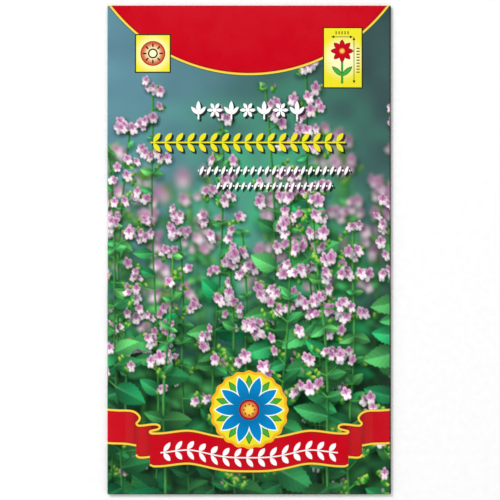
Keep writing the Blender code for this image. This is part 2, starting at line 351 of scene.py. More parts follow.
@dataclass
class Plant:
    """A flowering stem with pairs of leaves, and with short shoots that carry the blossoms. Its sizes are in
    mm."""

    canvas: Canvas
    foot: float
    top: float
    lean: float
    scale: float
    light: float
    bloom: float
    draw: random.Random
    blossoms: list[Blossom] = field(default_factory=list)
    cups: list[Cup] = field(default_factory=list)

    BASE: ClassVar[float] = -73.0
    JOINT_PITCH: ClassVar[float] = 5.6
    STRETCHES: ClassVar[int] = 14
    LEAVES_GROWN: ClassVar[float] = 60.0
    SHOOTS_GROWN: ClassVar[float] = 30.0

    def spine(self, share: float) -> Spot:
        """The stem's place at a share of its height."""
        sway = self.lean * share**1.6 + 0.6 * math.sin(share * 8 + self.foot)
        return self.foot + sway, self.BASE + (self.top - self.BASE) * share

    def paint(self) -> None:
        """Paints the stem, then the leaves, the cups and the blossoms."""
        spine = [self.spine(i / self.STRETCHES) for i in range(self.STRETCHES + 1)]
        Stem(self.canvas, spine, 0.62 * self.scale, self.light * self.draw.uniform(0.6, 1.1)).paint()
        height = self.top - self.BASE
        joints = max(3, int(height / (self.JOINT_PITCH * self.scale)))
        for i in range(joints + 1):
            share = min(max((i + self.draw.uniform(-0.2, 0.2)) / joints, 0.02), 1)
            joint, below_top = self.spine(share), (1 - share) * height
            self.grow_leaves(joint, min(1.0, below_top / self.LEAVES_GROWN))
            if below_top < self.bloom:
                self.grow_shoots(joint, min(1.0, below_top / self.SHOOTS_GROWN))
        for cup in self.cups:
            cup.paint()
        self.draw.shuffle(self.blossoms)
        for blossom in self.blossoms:
            blossom.cast()
            blossom.paint()

    def grow_leaves(self, joint: Spot, grown: float) -> None:
        """Paints the pair of leaves at a joint.

        Args:
            joint: its place, in mm.
            grown: from 0, at the top of the stem, to 1, near its foot.
        """
        draw = self.draw
        for side in (-1, 1):
            if draw.random() < 0.4:
                continue
            rise = draw.uniform(-0.7, 0.9)
            length = self.scale * (2.4 + 6.0 * grown**2.2) * draw.uniform(0.65, 1.3)
            turn = rise if side > 0 else math.pi - rise
            light = self.light * draw.uniform(0.5, 1.4) * (0.5 + 0.6 * float(smooth(-66, -8, joint[1])))
            yellow = draw.uniform(0, 0.45) + 0.35 * (1 - grown)
            leaf = Leaf(self.canvas, *joint, length, length * draw.uniform(0.48, 0.72), turn, light, yellow)
            leaf.cast()
            leaf.paint()

    def grow_shoots(self, joint: Spot, grown: float) -> None:
        """Paints the two shoots at a joint, and draws up the cups and blossoms round their tips.

        Args:
            joint: its place, in mm.
            grown: from 0, at the top of the stem, to 1 where the shoots are full-grown.
        """
        canvas, draw, scale = self.canvas, self.draw, self.scale
        x, y = joint
        for side in (-1, 1):
            if draw.random() < 0.42:
                continue
            reach = scale * (0.9 + 4.3 * grown) * draw.uniform(0.45, 1.4)
            lift = draw.uniform(0.05, 0.95)
            tip_x, tip_y = x + side * reach * math.cos(lift), y + reach * math.sin(lift)
            middle = ((x + tip_x) / 2, (y + tip_y) / 2 - 0.2)
            Stem(canvas, [joint, middle, (tip_x, tip_y)], 0.4 * scale, self.light).paint()
            bloom = 0.55 * float(smooth(-62, -24, tip_y)) + 0.08
            for _ in range(draw.choice((2, 3, 4, 6))):
                px, py = tip_x + scale * draw.gauss(0, 1.35), tip_y + scale * draw.gauss(0, 1.1)
                light = self.light * draw.uniform(0.8, 1.16)
                cup_place = (px - side * 0.8 * scale, py - 0.9 * scale)
                self.cups.append(Cup(canvas, *cup_place, 1.0 * scale, draw.uniform(-0.4, 2.6), light, 0.0))
                if draw.random() < bloom:
                    size, turn = scale * draw.uniform(1.5, 2.2), draw.gauss(0, 0.5)
                    squash, lilac = draw.uniform(0.56, 0.82), draw.choice((0.3, 0.4, 0.5, 0.6, 1.0))
                    self.blossoms.append(Blossom(canvas, px, py, size, turn, squash, lilac, light))
                else:
                    bud = draw.choice((0.0, 0.0, 0.9))
                    turn = draw.uniform(0.4, 2.7)
                    self.cups.append(Cup(canvas, px, py, 0.8 * scale, turn, light * 1.1, bud))


@dataclass(frozen=True)
class Rank:
    """A row of plants at one distance. Heights and reaches are in mm."""

    count: int
    lowest_top: float
    highest_top: float
    scale: float
    light: float
    bloom: float
    blur: float
    softened: float = 0.0


@dataclass
class Meadow:
    """A generic picture of flowering stems, from the far haze to the nearest ones."""

    width: float = 80.0
    height: float = 138.0
    pitch: float = 0.125
    seed: int = 23
    spread: float = 43.0

    BLUE: ClassVar[Array] = linear(96, 140, 156)
    SLATE: ClassVar[Array] = linear(56, 78, 80)
    TEAL: ClassVar[Array] = linear(84, 152, 136)
    DEEP: ClassVar[Array] = linear(30, 66, 52)
    GREEN: ClassVar[Array] = linear(64, 176, 120)
    RANKS: ClassVar[tuple[Rank, ...]] = (
        Rank(14, -14, 34, 1.4, 0.9, 6, 0.3, softened=1.7),
        Rank(13, -10, 46, 0.95, 0.86, 26, 0.22, softened=0.7),
        Rank(11, 0, 60, 0.95, 1.0, 80, 0.15),
        Rank(6, -34, 30, 1.0, 1.08, 60, 0.15),
    )

    def __post_init__(self) -> None:
        """Makes the blank canvas, and starts the draws."""
        self.canvas = Canvas(self.width, self.height, self.pitch, self.seed)
        self.draw = random.Random(self.seed)

    def painted(self) -> Canvas:
        """Paints the picture.

        Returns:
            Its canvas.
        """
        self.lay_ground()
        for rank in self.RANKS:
            self.plant_rank(rank)
            if rank.softened:
                self.canvas.soften(rank.softened)
        return self.canvas

    def lay_ground(self) -> None:
        """Paints the out-of-focus ground, blue above and dark green below."""
        canvas = self.canvas
        x, y = canvas.x[None, :], canvas.y[:, None]
        lumps, fine = canvas.cloud(17), canvas.cloud(6)
        ink = blend(self.BLUE, self.SLATE, smooth(-36, 22, x + 34 * (lumps - 0.5)))
        centre = np.exp(-(((x - 2) / 30) ** 2) - ((y + 2) / 40) ** 2)
        ink = blend(ink, self.TEAL, np.clip(centre * (0.7 + 0.8 * lumps), 0, 1))
        ink = blend(ink, self.GREEN, centre * smooth(0.4, 0.8, fine) * 0.9)
        deep = blend(self.DEEP, self.SLATE, smooth(0.5, 0.8, canvas.cloud(9)))
        ink = blend(ink, deep, 0.95 * (1 - smooth(-44, 10, y + 24 * (lumps - 0.5))))
        canvas.ink[:] = ink * (0.84 + 0.3 * fine)[..., None]

    def plant_rank(self, rank: Rank) -> None:
        """Paints the plants of one rank side by side, in a drawn order.

        Args:
            rank: which one.
        """
        draw, self.canvas.blur = self.draw, rank.blur
        pitch = 2 * self.spread / rank.count
        feet = [pitch * (i + draw.uniform(0.1, 0.9)) - self.spread for i in range(rank.count)]
        draw.shuffle(feet)
        for foot in feet:
            Plant(
                canvas=self.canvas,
                foot=foot,
                top=draw.uniform(rank.lowest_top, rank.highest_top),
                lean=draw.uniform(-6, 6),
                scale=rank.scale * draw.uniform(0.88, 1.12),
                light=rank.light * draw.uniform(0.85, 1.1),
                bloom=rank.bloom * draw.uniform(0.8, 1.15),
                draw=draw,
            ).paint()


class Wire:
    """A number or a vector that changes over a surface. It is added, multiplied and so on as a number is."""

    def __init__(self, graph: "Graph", socket: bpy.types.NodeSocket) -> None:
        """Wraps an output socket of one of the graph's nodes."""
        self.graph = graph
        self.socket = socket

    def __add__(self, other: Number) -> "Wire":
        """This number plus another."""
        return self.graph.math("ADD", self, other)

    __radd__ = __add__

    def __sub__(self, other: Number) -> "Wire":
        """This number less another."""
        return self.graph.math("SUBTRACT", self, other)

    def __rsub__(self, other: Number) -> "Wire":
        """Another number less this one."""
        return self.graph.math("SUBTRACT", other, self)

    def __mul__(self, other: Number) -> "Wire":
        """This number times another."""
        return self.graph.math("MULTIPLY", self, other)

    __rmul__ = __mul__

    def __truediv__(self, other: Number) -> "Wire":
        """This number over another."""
        return self.graph.math("DIVIDE", self, other)

    def __rtruediv__(self, other: Number) -> "Wire":
        """Another number over this one."""
        return self.graph.math("DIVIDE", other, self)

    def __pow__(self, other: Number) -> "Wire":
        """This number to a power."""
        return self.graph.math("POWER", self, other)

    def __neg__(self) -> "Wire":
        """This number with its sign changed."""
        return self.graph.math("MULTIPLY", self, -1.0)

    def __abs__(self) -> "Wire":
        """This number without its sign."""
        return self.graph.math("ABSOLUTE", self)


class Graph:
    """The nodes of one material, with one shader that they feed."""

    def __init__(self, name: str) -> None:
        """Makes an empty material.

        Args:
            name: the material's.
        """
        self.material = bpy.data.materials.new(name)
        self.material.use_nodes = True
        self.tree = self.material.node_tree
        self.tree.nodes.clear()

    def feed(self, socket: bpy.types.NodeSocket, value: object) -> None:
        """Gives an input socket its value.

        Args:
            socket: the input.
            value: a wire, another socket, an ink, a vector or a plain number.
        """
        if isinstance(value, Wire):
            value = value.socket
        if isinstance(value, bpy.types.NodeSocket):
            self.tree.links.new(value, socket)
        elif isinstance(value, np.ndarray):
            socket.default_value = (*(float(part) for part in value), 1.0)
        else:
            socket.default_value = value

    def node(self, kind: str, settings: dict | None = None, inputs: dict | None = None) -> bpy.types.Node:
        """Adds a node.

        Args:
            kind: the node's type.
            settings: its own options by name, set before its inputs.
            inputs: the values or links of its sockets, by name or by number.

        Returns:
            The node.
        """
        made = self.tree.nodes.new(kind)
        for name, value in (settings or {}).items():
            setattr(made, name, value)
        for key, value in (inputs or {}).items():
            self.feed(made.inputs[key], value)
        return made

    def wire(self, kind: str, settings: dict, inputs: dict, output: int | str = 0) -> Wire:
        """Adds a node as node does, and returns the wire from one of its outputs."""
        return Wire(self, self.node(kind, settings, inputs).outputs[output])

    def math(self, operation: str, *values: Number) -> Wire:
        """Adds a Math node on up to three numbers."""
        return self.wire("ShaderNodeMath", {"operation": operation}, dict(enumerate(values)))

    def vectors(self, operation: str, inputs: dict, output: int | str = 0) -> Wire:
        """Adds a Vector Math node, and returns the wire from one of its outputs."""
        return self.wire("ShaderNodeVectorMath", {"operation": operation}, inputs, output)

    def least(self, *numbers: Number) -> Wire:
        """The least of the numbers: the union of shapes that are given by distance."""
        return reduce(partial(self.math, "MINIMUM"), numbers)

    def most(self, *numbers: Number) -> Wire:
        """The most of the numbers: what shapes that are given by distance share."""
        return reduce(partial(self.math, "MAXIMUM"), numbers)

    def mapped(self, value: Number, low: float, high: float, start: float = 0.0, end: float = 1.0) -> Wire:
        """An even curve from start, where a number is at low, to end, where it is at high."""
        inputs = {"Value": value, "From Min": low, "From Max": high, "To Min": start, "To Max": end}
        return self.wire("ShaderNodeMapRange", {"interpolation_type": "SMOOTHSTEP"}, inputs, "Result")

    def mix(self, one: object, two: object, share: Number) -> Wire:
        """A colour between two colours."""
        return self.wire("ShaderNodeMix", {"data_type": "RGBA"}, {0: share, 6: one, 7: two}, 2)

    def speckle(self, size: float, detail: float, stretch: tuple = (1, 1, 1), seed: float = 0.0) -> Wire:
        """Noise from 0 to 1.

        Args:
            size: of its lumps, in metres.
            detail: how many finer layers it has.
            stretch: how much closer its lumps lie along each axis.
            seed: a different number gives different noise.

        Returns:
            The noise at each place.
        """
        place = self.wire("ShaderNodeTexCoord", {}, {}, "Object")
        mapping = {"Vector": place, "Scale": stretch, "Location": (seed * MM, 0, 0)}
        moved = self.wire("ShaderNodeMapping", {}, mapping)
        inputs = {"Vector": moved, "Scale": 1 / size, "Detail": detail}
        return self.wire("ShaderNodeTexNoise", {}, inputs, "Fac")

    def bump(self, height: Number, depth: float, strength: float, under: Wire | None = None) -> Wire:
        """A normal that shows a relief.

        Args:
            height: of the relief at each place, from 0 to 1.
            depth: how high 1 stands, in metres.
            strength: how much of the relief shows, up to 1.
            under: the normal of a coarser relief that this one lies on.

        Returns:
            The normal at each place.
        """
        inputs = {"Height": height, "Distance": depth, "Strength": strength}
        if under is not None:
            inputs["Normal"] = under
        return self.wire("ShaderNodeBump", {}, inputs)

    def finish(self, colour: object, roughness: Number, normal: Wire | None = None,
               specular: float | None = None) -> bpy.types.Material:
        """Adds the shader.

        Args:
            colour: at each place.
            roughness: at each place.
            normal: at each place, where the surface has a relief.
            specular: the strength of the gloss, where it isn't the usual one.

        Returns:
            The material.
        """
        inputs = {"Base Color": colour, "Roughness": roughness}
        for name, value in (("Normal", normal), ("Specular IOR Level", specular)):
            if value is not None:
                inputs[name] = value
        shader = self.node("ShaderNodeBsdfPrincipled", {}, inputs)
        self.node("ShaderNodeOutputMaterial", {}, {"Surface": shader.outputs[0]})
        return self.material


@dataclass(frozen=True)
class Plane:
    """A flat place to draw on, with two axes in millimetres. Shapes on it are wires that hold the distance
    from their edge, less than 0 inside."""

    graph: Graph
    x: Wire
    y: Wire

    @classmethod
    def of_object(cls, graph: Graph, sign: int = 1) -> "Plane":
        """The plane of one side of the packet.

        Args:
            graph: of the material that is drawn on it.
            sign: 1 for the front, and -1 for the back as it is read.

        Returns:
            The plane.
        """
        place = graph.wire("ShaderNodeTexCoord", {}, {}, "Object")
        parts = graph.node("ShaderNodeSeparateXYZ", {}, {0: place}).outputs
        return cls(graph, Wire(graph, parts[0]) * (sign / MM), Wire(graph, parts[1]) * (1 / MM))

    def moved(self, x: float, y: float) -> "Plane":
        """This plane with its middle at a place."""
        return Plane(self.graph, self.x - x, self.y - y)

    def turned(self, angle: float) -> "Plane":
        """This plane turned by an angle in radians."""
        cos, sin = math.cos(angle), math.sin(angle)
        return Plane(self.graph, self.x * cos + self.y * sin, self.y * cos - self.x * sin)

    def mirrored(self) -> "Plane":
        """This plane with its left half as the mirror image of its right one."""
        return Plane(self.graph, abs(self.x), self.y)

    def repeated(self, pitch: float) -> "Plane":
        """This plane in equal lengths along x, each with its middle at 0."""
        return Plane(self.graph, self.graph.math("WRAP", self.x, pitch / 2, -pitch / 2), self.y)

    def spoked(self, count: int) -> "Plane":
        """This plane in equal sectors round its middle.

        Args:
            count: of the sectors.

        Returns:
            The plane, whose x points outwards in each sector.
        """
        graph, half = self.graph, math.pi / count
        angle = graph.math("WRAP", graph.math("ARCTAN2", self.y, self.x), half, -half)
        reach = self.reach()
        return Plane(graph, reach * graph.math("COSINE", angle), reach * graph.math("SINE", angle))

    def here(self) -> Wire:
        """The place as a vector."""
        return self.graph.wire("ShaderNodeCombineXYZ", {}, {0: self.x, 1: self.y})

    def reach(self) -> Wire:
        """The distance from the middle."""
        return self.graph.vectors("LENGTH", {0: self.here()}, "Value")

    def disc(self, radius: float) -> Wire:
        """A round shape."""
        return self.reach() - radius

    def box(self, half_width: float, half_height: float) -> Wire:
        """A rectangle."""
        return self.graph.most(abs(self.x) - half_width, abs(self.y) - half_height)

    def leaf(self, half_length: float, half_width: float) -> Wire:
        """A pointed leaf along x, between two arcs."""
        radius = (half_length**2 + half_width**2) / (2 * half_width)
        return Plane(self.graph, self.x, abs(self.y) + (radius - half_width)).disc(radius)

    def trail(self, places: list[Spot]) -> Wire:
        """The distance from a line.

        Args:
            places: where it runs, in mm.

        Returns:
            The distance, in mm.
        """
        graph, here, gaps = self.graph, self.here(), []
        for (x0, y0), (x1, y1) in zip(places, places[1:]):
            run = (x1 - x0) ** 2 + (y1 - y0) ** 2
            way = (x1 - x0, y1 - y0, 0)
            out = graph.vectors("SUBTRACT", {0: here, 1: (x0, y0, 0)})
            share = graph.vectors("DOT_PRODUCT", {0: out, 1: tuple(part / run for part in way)}, "Value")
            share = graph.wire("ShaderNodeClamp", {}, {"Value": share})
            on_line = graph.vectors("SCALE", {0: way, "Scale": share})
            gaps.append(graph.vectors("DISTANCE", {0: out, 1: on_line}, "Value"))
        return graph.least(*gaps)


@dataclass
class Overprint:
    """Flat inks laid one over another."""

    graph: Graph
    colour: object
    edge: float = 0.035

    def lay(self, ink: object, shape: Wire, strength: float = 1.0, edge: float | None = None) -> None:
        """Prints an ink inside a shape.

        Args:
            ink: a colour or a wire that holds one.
            shape: the distance from the shape's edge, in mm.
            strength: how much the ink covers, up to 1.
            edge: half the width of the shape's soft edge, in mm.
        """
        soft = edge or self.edge
        self.colour = self.graph.mix(self.colour, ink, self.graph.mapped(shape, soft, -soft, 0.0, strength))


def curved(places: tuple[Spot, ...], stops: int = 2) -> list[Spot]:
    """Places on a smooth line through the given ones.

    Args:
        places: what the line goes through.
        stops: how many places it gets for each length between two of them.

    Returns:
        Its places.
    """
    ends = [places[0], *places, places[-1]]
    found = []
    for near in zip(ends, ends[1:], ends[2:], ends[3:]):
        for i in range(stops):
            t = i / stops
            weights = (-t + 2 * t**2 - t**3, 2 - 5 * t**2 + 3 * t**3, t + 4 * t**2 - 3 * t**3, t**3 - t**2)
            found.append(tuple(sum(w * p[axis] for w, p in zip(weights, near)) / 2 for axis in (0, 1)))
    return found + [places[-1]]


class Ink:
    """The flat inks of the packet."""

    RED = linear(202, 2, 26)
    DARK_RED = linear(150, 14, 26)
    RED_TURNED = linear(198, 24, 32)
    RED_SHADED = linear(160, 24, 28)
    RED_HOLLOW = linear(126, 26, 2)
    YELLOW = linear(255, 216, 82)
    AMBER = linear(250, 184, 40)
    LEMON = linear(240, 230, 44)
    CREAM = linear(255, 251, 196)
    ORANGE = linear(212, 92, 56)
    GREEN = linear(70, 172, 60)
    DARK_GREEN = linear(20, 104, 50)
    BLUE = linear(0, 138, 206)
    OUTLINE = linear(44, 40, 12)
    BLACK = linear(14, 16, 16)
    WHITE = linear(255, 255, 255)
    PAPER = linear(243, 241, 232)
    RULE = linear(96, 122, 112)


@dataclass(frozen=True)
class Row:
    """A row of ornament along a plane, whose middle is the row's middle. half_length is the row's, count is
    how many motifs it has, and size is about half their height. Both sizes are in mm."""

    plane: Plane
    half_length: float
    count: int
    size: float

    @property
    def pitch(self) -> float:
        """From one motif to the next."""
        return 2 * self.half_length / self.count

    def ended(self, *shapes: Wire) -> Wire:
        """The shapes together, as far as the row's ends."""
        graph = self.plane.graph
        return graph.most(graph.least(*shapes), abs(self.plane.x) - self.half_length)

    def posies(self) -> Wire:
        """Sprigs with flowers between them, side by side with gaps. Their count together is odd.

        Returns:
            The shape.
        """
        plane, pitch, size = self.plane, self.pitch, self.size
        first = pitch * ((self.count - 1) // 2 % 2)
        flower = plane.moved(pitch - first, 0).repeated(2 * pitch)
        petals = flower.spoked(6).moved(0.5 * size, 0).leaf(0.35 * size, 0.18 * size)
        sprig = plane.moved(first, 0).repeated(2 * pitch)
        middle = Plane(plane.graph, sprig.y - 0.3 * size, sprig.x).leaf(0.7 * size, 0.24 * size)
        sides = sprig.mirrored().moved(0.42 * size, -0.05 * size).turned(0.85).leaf(0.56 * size, 0.2 * size)
        stalk = sprig.moved(0, -0.7 * size).box(0.09 * size, 0.3 * size)
        return self.ended(petals, flower.disc(0.2 * size), middle, sides, stalk)

    def laurel(self) -> Wire:
        """A thin stem with slanted leaves above and below it.

        Returns:
            The shape.
        """
        size, cell = self.size, self.plane.repeated(self.pitch)
        branch = Plane(cell.graph, cell.x, abs(cell.y)).moved(0.06 * size, 0.52 * size)
        leaves = branch.turned(0.92).leaf(0.56 * size, 0.25 * size)
        return self.ended(leaves, self.plane.box(self.half_length, 0.07 * size))

    def beading(self) -> Wire:
        """Slanted leaves with beads between them.

        Returns:
            The shape.
        """
        size, cell = self.size, self.plane.repeated(self.pitch)
        bead = Plane(cell.graph, abs(cell.x) - self.pitch / 2, cell.y).disc(0.11 * size)
        return self.ended(cell.turned(1.2).leaf(0.54 * size, 0.16 * size), bead)


@dataclass(frozen=True)
class FrontLayout:
    """Places and sizes of the front's flat parts, in mm from the middle of the front."""

    half_width: float = 40.0
    half_height: float = 69.0
    # how far in from the front's edges the painted shade line along the folds reaches, in mm
    edge_shade_inset: float = 0.4
    header_radius: float = 49.03
    header_centre: float = 98.89
    rim: float = 0.6
    badge_left: tuple[float, float, float, float] = (-27.13, 55.4, 5.08, 5.5)
    badge_right: tuple[float, float, float, float] = (26.4, 54.19, 5.64, 8.69)
    outline: float = 0.34
    title: tuple[float, float, float] = (-0.4, 39.4, 16.2)
    subtitle: tuple[float, float, float] = (-0.4, 30.3, 27.4)
    lines: tuple[tuple[float, float, float], ...] = ((7.0, 22.4, 21.4), (7.0, 18.05, 16.6))
    shadow: float = 0.55
    rosette_centre: float = -45.0
    rosette_radius: float = 10.9


@dataclass(frozen=True)
class Ribbon:
    """A ribbon that hangs in a bow across the front and folds behind itself twice at each end. Its sizes are
    in mm from the middle of the front, and its lines and middles are those of the right half."""

    sheet: Overprint
    plane: Plane
    level: float = -57.75
    half_height: float = 4.65
    end: float = 28.0
    fold_end: float = 31.85
    line: float = 0.3
    crest: float = 17.4
    rise: float = 2.2
    tail_middle: Spot = (36.0, -49.9)
    curl_middle: Spot = (32.9, -47.5)
    roll_middle: Spot = (28.6, -49.95)
    fold_middle: Spot = (29.7, -53.95)
    top_line: tuple[Spot, ...] = (
        (41.0, -45.0), (38.6, -45.17), (36.6, -45.27), (34.4, -45.28), (32.75, -45.5), (31.45, -46.25),
        (30.8, -47.3), (31.2, -48.25), (31.72, -48.75), (31.6, -49.25), (31.0, -49.53), (29.5, -49.42),
        (28.0, -49.2), (26.4, -49.12), (25.42, -49.42), (25.2, -49.98), (25.6, -50.47), (26.7, -50.76),
        (27.7, -51.0), (27.98, -51.32), (27.6, -51.66), (26.7, -51.74),
    )
    tail_line: tuple[Spot, ...] = (
        (41.0, -54.35), (38.5, -54.55), (35.2, -54.61), (33.4, -54.84), (31.95, -55.1),
    )
    fold_line: tuple[Spot, ...] = (
        (31.72, -57.9), (31.5, -58.25), (30.9, -58.49), (29.9, -58.53), (28.0, -58.33),
    )

    def bow(self, x: Wire) -> Wire:
        """How far the ribbon stands above its middle.

        Args:
            x: the distance to the side, in mm.

        Returns:
            The height, in mm.
        """
        to_crest = x.graph.mapped((x / self.crest) ** 1.6, 0, 1, 0, self.rise)
        past_crest = x.graph.mapped(x, self.crest, self.crest + 8.6, 0, 0.8)
        return to_crest - past_crest + x.graph.mapped(x, self.end - 1.2, self.end + 0.4, 0, 0.55)

    def lay(self) -> Plane:
        """Prints the ribbon: the tails, then the folds and the bow in front of them.

        Returns:
            A plane that follows the bow, with its middle at the bow's.
        """
        graph, sheet, plane = self.sheet.graph, self.sheet, self.plane
        half = plane.mirrored()
        tail = half.moved(*self.tail_middle).box(self.tail_middle[0] - self.fold_end, self.half_height)
        tail = graph.least(tail, half.moved(*self.curl_middle).disc(2.0))
        dim = graph.mix(Ink.RED_TURNED, Ink.RED_SHADED, graph.mapped(half.x, 33.4, self.fold_end - 0.4))
        sheet.lay(graph.mix(Ink.RED, dim, graph.mapped(half.x, 34.95, 34.8)), tail)
        self.lay_edge(half.trail(curved(self.tail_line)), tail)
        roll = half.moved(*self.roll_middle).box(3.0, 0.6) - 0.2
        sheet.lay(Ink.RED_HOLLOW, roll)
        fold = half.moved(*self.fold_middle).box(self.fold_end - self.fold_middle[0], 4.45)
        shade = graph.mapped(abs(half.x - 30.1), 0.6, 2.0)
        sheet.lay(graph.mix(Ink.RED_TURNED, Ink.RED_SHADED, shade * 0.6), fold)
        self.lay_edge(half.trail(curved(self.fold_line)), fold)
        along = Plane(graph, plane.x, plane.y - self.level - self.bow(half.x))
        bow = along.box(self.end, self.half_height)
        top = half.trail(curved(self.top_line))
        self.lay_edge(top, graph.least(tail, roll, fold))
        sheet.lay(Ink.RED, bow)
        rim = graph.most(abs(abs(along.y) - self.half_height), abs(along.x) - self.end + self.line)
        self.lay_edge(graph.least(rim, top), bow)
        return along

    def lay_edge(self, edge: Wire, within: Wire) -> None:
        """Prints a yellow edge with a dark line on its inner side.

        Args:
            edge: the distance from its middle.
            within: the ribbon's own shape there.
        """
        sheet, graph = self.sheet, self.sheet.graph
        sheet.lay(Ink.RED_HOLLOW, graph.most(edge - self.line - 0.24, within), 0.8)
        sheet.lay(Ink.DARK_GREEN, edge - self.line - 0.06, 0.5)
        sheet.lay(graph.mix(Ink.YELLOW, Ink.AMBER, graph.mapped(edge, 0.05, self.line)), edge - self.line)


class PrintedFront:
    """The glossy printed side of the paper: the meadow, and a generic label design over it."""

    ATTRIBUTE = "meadow"

    def __init__(self) -> None:
        """Starts the material with the meadow."""
        self.layout = FrontLayout()
        self.graph = Graph("printed_front")
        picture = self.graph.wire("ShaderNodeAttribute", {"attribute_name": self.ATTRIBUTE}, {}, "Color")
        self.plane = Plane.of_object(self.graph)
        self.sheet = Overprint(self.graph, picture)

    def material(self) -> bpy.types.Material:
        """Prints the flat parts and a painted shade along three folded edges, and gives the paper its gloss.

        Returns:
            The material.
        """
        graph, plane = self.graph, self.plane
        self.header()
        self.sun_badge()
        self.flower_badge()
        self.ornaments()
        self.ribbon()
        self.rosette()
        self.edge_shade()
        relief = graph.speckle(0.35 * MM, detail=4)
        normal = graph.bump(graph.speckle(22 * MM, detail=1), 0.25 * MM, 0.5)
        normal = graph.bump(relief, 0.004 * MM, 0.6, under=normal)
        roughness = graph.mapped(graph.speckle(6 * MM, detail=3), 0.3, 0.7, 0.24, 0.32)
        rest = graph.least(self.layout.half_width - abs(plane.x), self.layout.half_height - abs(plane.y))
        roughness = roughness + graph.mapped(rest, 0.4, 0.15, 0.0, 0.4)
        return graph.finish(self.sheet.colour, roughness, normal, specular=0.35)

    def edge_shade(self) -> None:
        """A thin dark line of painted shade along the folds on three sides, strongest on the right and faint
        at the bottom and top.
        """
        layout, plane = self.layout, self.plane
        right, bottom = layout.half_width - plane.x, layout.half_height + plane.y
        for edge, strength in ((right, 0.8), (bottom, 0.3), (layout.half_height - plane.y, 0.2)):
            self.sheet.lay(Ink.BLACK, edge - layout.edge_shade_inset, strength, edge=0.12)

    def header(self) -> None:
        """A red field at the top with a round lower edge and a yellow rim."""
        layout, sheet = self.layout, self.sheet
        field_edge = self.plane.moved(0, layout.header_centre).disc(layout.header_radius)
        sheet.lay(Ink.DARK_GREEN, field_edge - layout.rim - 0.25, 0.7)
        sheet.lay(Ink.YELLOW, field_edge - layout.rim)
        sheet.lay(Ink.AMBER, field_edge - 0.15)
        sheet.lay(Ink.DARK_RED, field_edge)
        sheet.lay(Ink.RED, field_edge + 0.35)

    def badge(self, place: tuple[float, float, float, float]) -> Plane:
        """A yellow panel with a pale middle and a dark outline.

        Args:
            place: the x and y of its middle, half its width and half its height, in mm.

        Returns:
            Its own plane.
        """
        x, y, half_width, half_height = place
        own = self.plane.moved(x, y)
        panel = own.box(half_width, half_height)
        self.sheet.lay(Ink.OUTLINE, panel)
        glow = self.graph.mapped(own.reach(), 0.4 * half_width, 1.25 * half_width)
        self.sheet.lay(self.graph.mix(Ink.CREAM, Ink.LEMON, glow), panel + self.layout.outline)
        return own

    def sun_badge(self) -> None:
        """A generic sun on a yellow panel: the plant likes light."""
        graph, sheet = self.graph, self.sheet
        own = self.badge(self.layout.badge_left)
        reach = own.reach()
        sheet.lay(Ink.DARK_RED, reach - 3.5)
        sheet.lay(graph.mix(Ink.CREAM, Ink.ORANGE, graph.mapped(reach, 0.9, 3.1)), reach - 3.24)
        rays = own.spoked(8).moved(2.3, 0).box(0.5, 0.2)
        sheet.lay(Ink.BLACK, graph.least(rays, abs(reach - 1.2) - 0.2))

    def flower_badge(self) -> None:
        """A generic daisy with arrows and rulers for its breadth and its height."""
        graph, sheet = self.graph, self.sheet
        own = self.badge(self.layout.badge_right)
        stem = own.moved(-0.2, -3.2).box(0.2, 4.0)
        leaves = own.moved(-0.2, -4.2).mirrored().moved(1.35, 0.35).turned(0.75).leaf(1.9, 0.6)
        sheet.lay(Ink.DARK_GREEN, graph.least(stem, leaves) - 0.1)
        sheet.lay(Ink.GREEN, graph.least(stem, leaves) + 0.06)
        bloom = own.moved(-0.2, 1.9)
        petals = bloom.spoked(8).moved(1.65, 0).leaf(1.45, 0.66)
        sheet.lay(Ink.DARK_RED, petals - 0.14)
        sheet.lay(Ink.RED, petals + 0.04)
        sheet.lay(graph.mix(Ink.YELLOW, Ink.ORANGE, graph.mapped(bloom.reach(), 0.2, 0.9)), bloom.disc(0.85))
        across, up = own.moved(-0.2, 5.9), own.moved(3.15, -0.7).turned(math.pi / 2)
        for scale, half_length in ((across.moved(0, 1.15), 2.1), (up.moved(0, -1.15), 3.9)):
            ticks = scale.repeated(0.84).box(0.14, 0.45)
            sheet.lay(Ink.BLACK, graph.most(ticks, abs(scale.x) - half_length))
        for arrow, half_length in ((across, 3.1), (up, 6.6)):
            shaft = arrow.box(half_length - 0.3, 0.09)
            head = arrow.mirrored().moved(half_length - 0.45, 0)
            point = graph.most(abs(head.y) * 2.2 + head.x - 0.45, -head.x - 0.45)
            sheet.lay(Ink.BLACK, graph.least(shaft, point))

    def ornaments(self) -> None:
        """Rows of ornament with a dark shadow to their lower right."""
        layout, sheet = self.layout, self.sheet
        rows = (
            (layout.title, Ink.WHITE, Row.posies, 7, 2.6),
            (layout.subtitle, Ink.LEMON, Row.laurel, 17, 2.75),
            (layout.lines[0], Ink.WHITE, Row.beading, 21, 2.6),
            (layout.lines[1], Ink.WHITE, Row.beading, 19, 2.2),
        )
        for (x, y, half_length), ink, shape, count, size in rows:
            own = self.plane.moved(x, y)
            cast = own.moved(layout.shadow, -layout.shadow)
            sheet.lay(Ink.BLACK, shape(Row(cast, half_length, count, size)) - 0.1, 0.9, edge=0.1)
            sheet.lay(ink, shape(Row(own, half_length, count, size)))

    def ribbon(self) -> None:
        """A red ribbon with yellow edges and a white garland along it."""
        along = Ribbon(self.sheet, self.plane).lay()
        self.sheet.lay(Ink.WHITE, Row(along.moved(0, -0.8), 25.0, 15, 2.7).laurel())

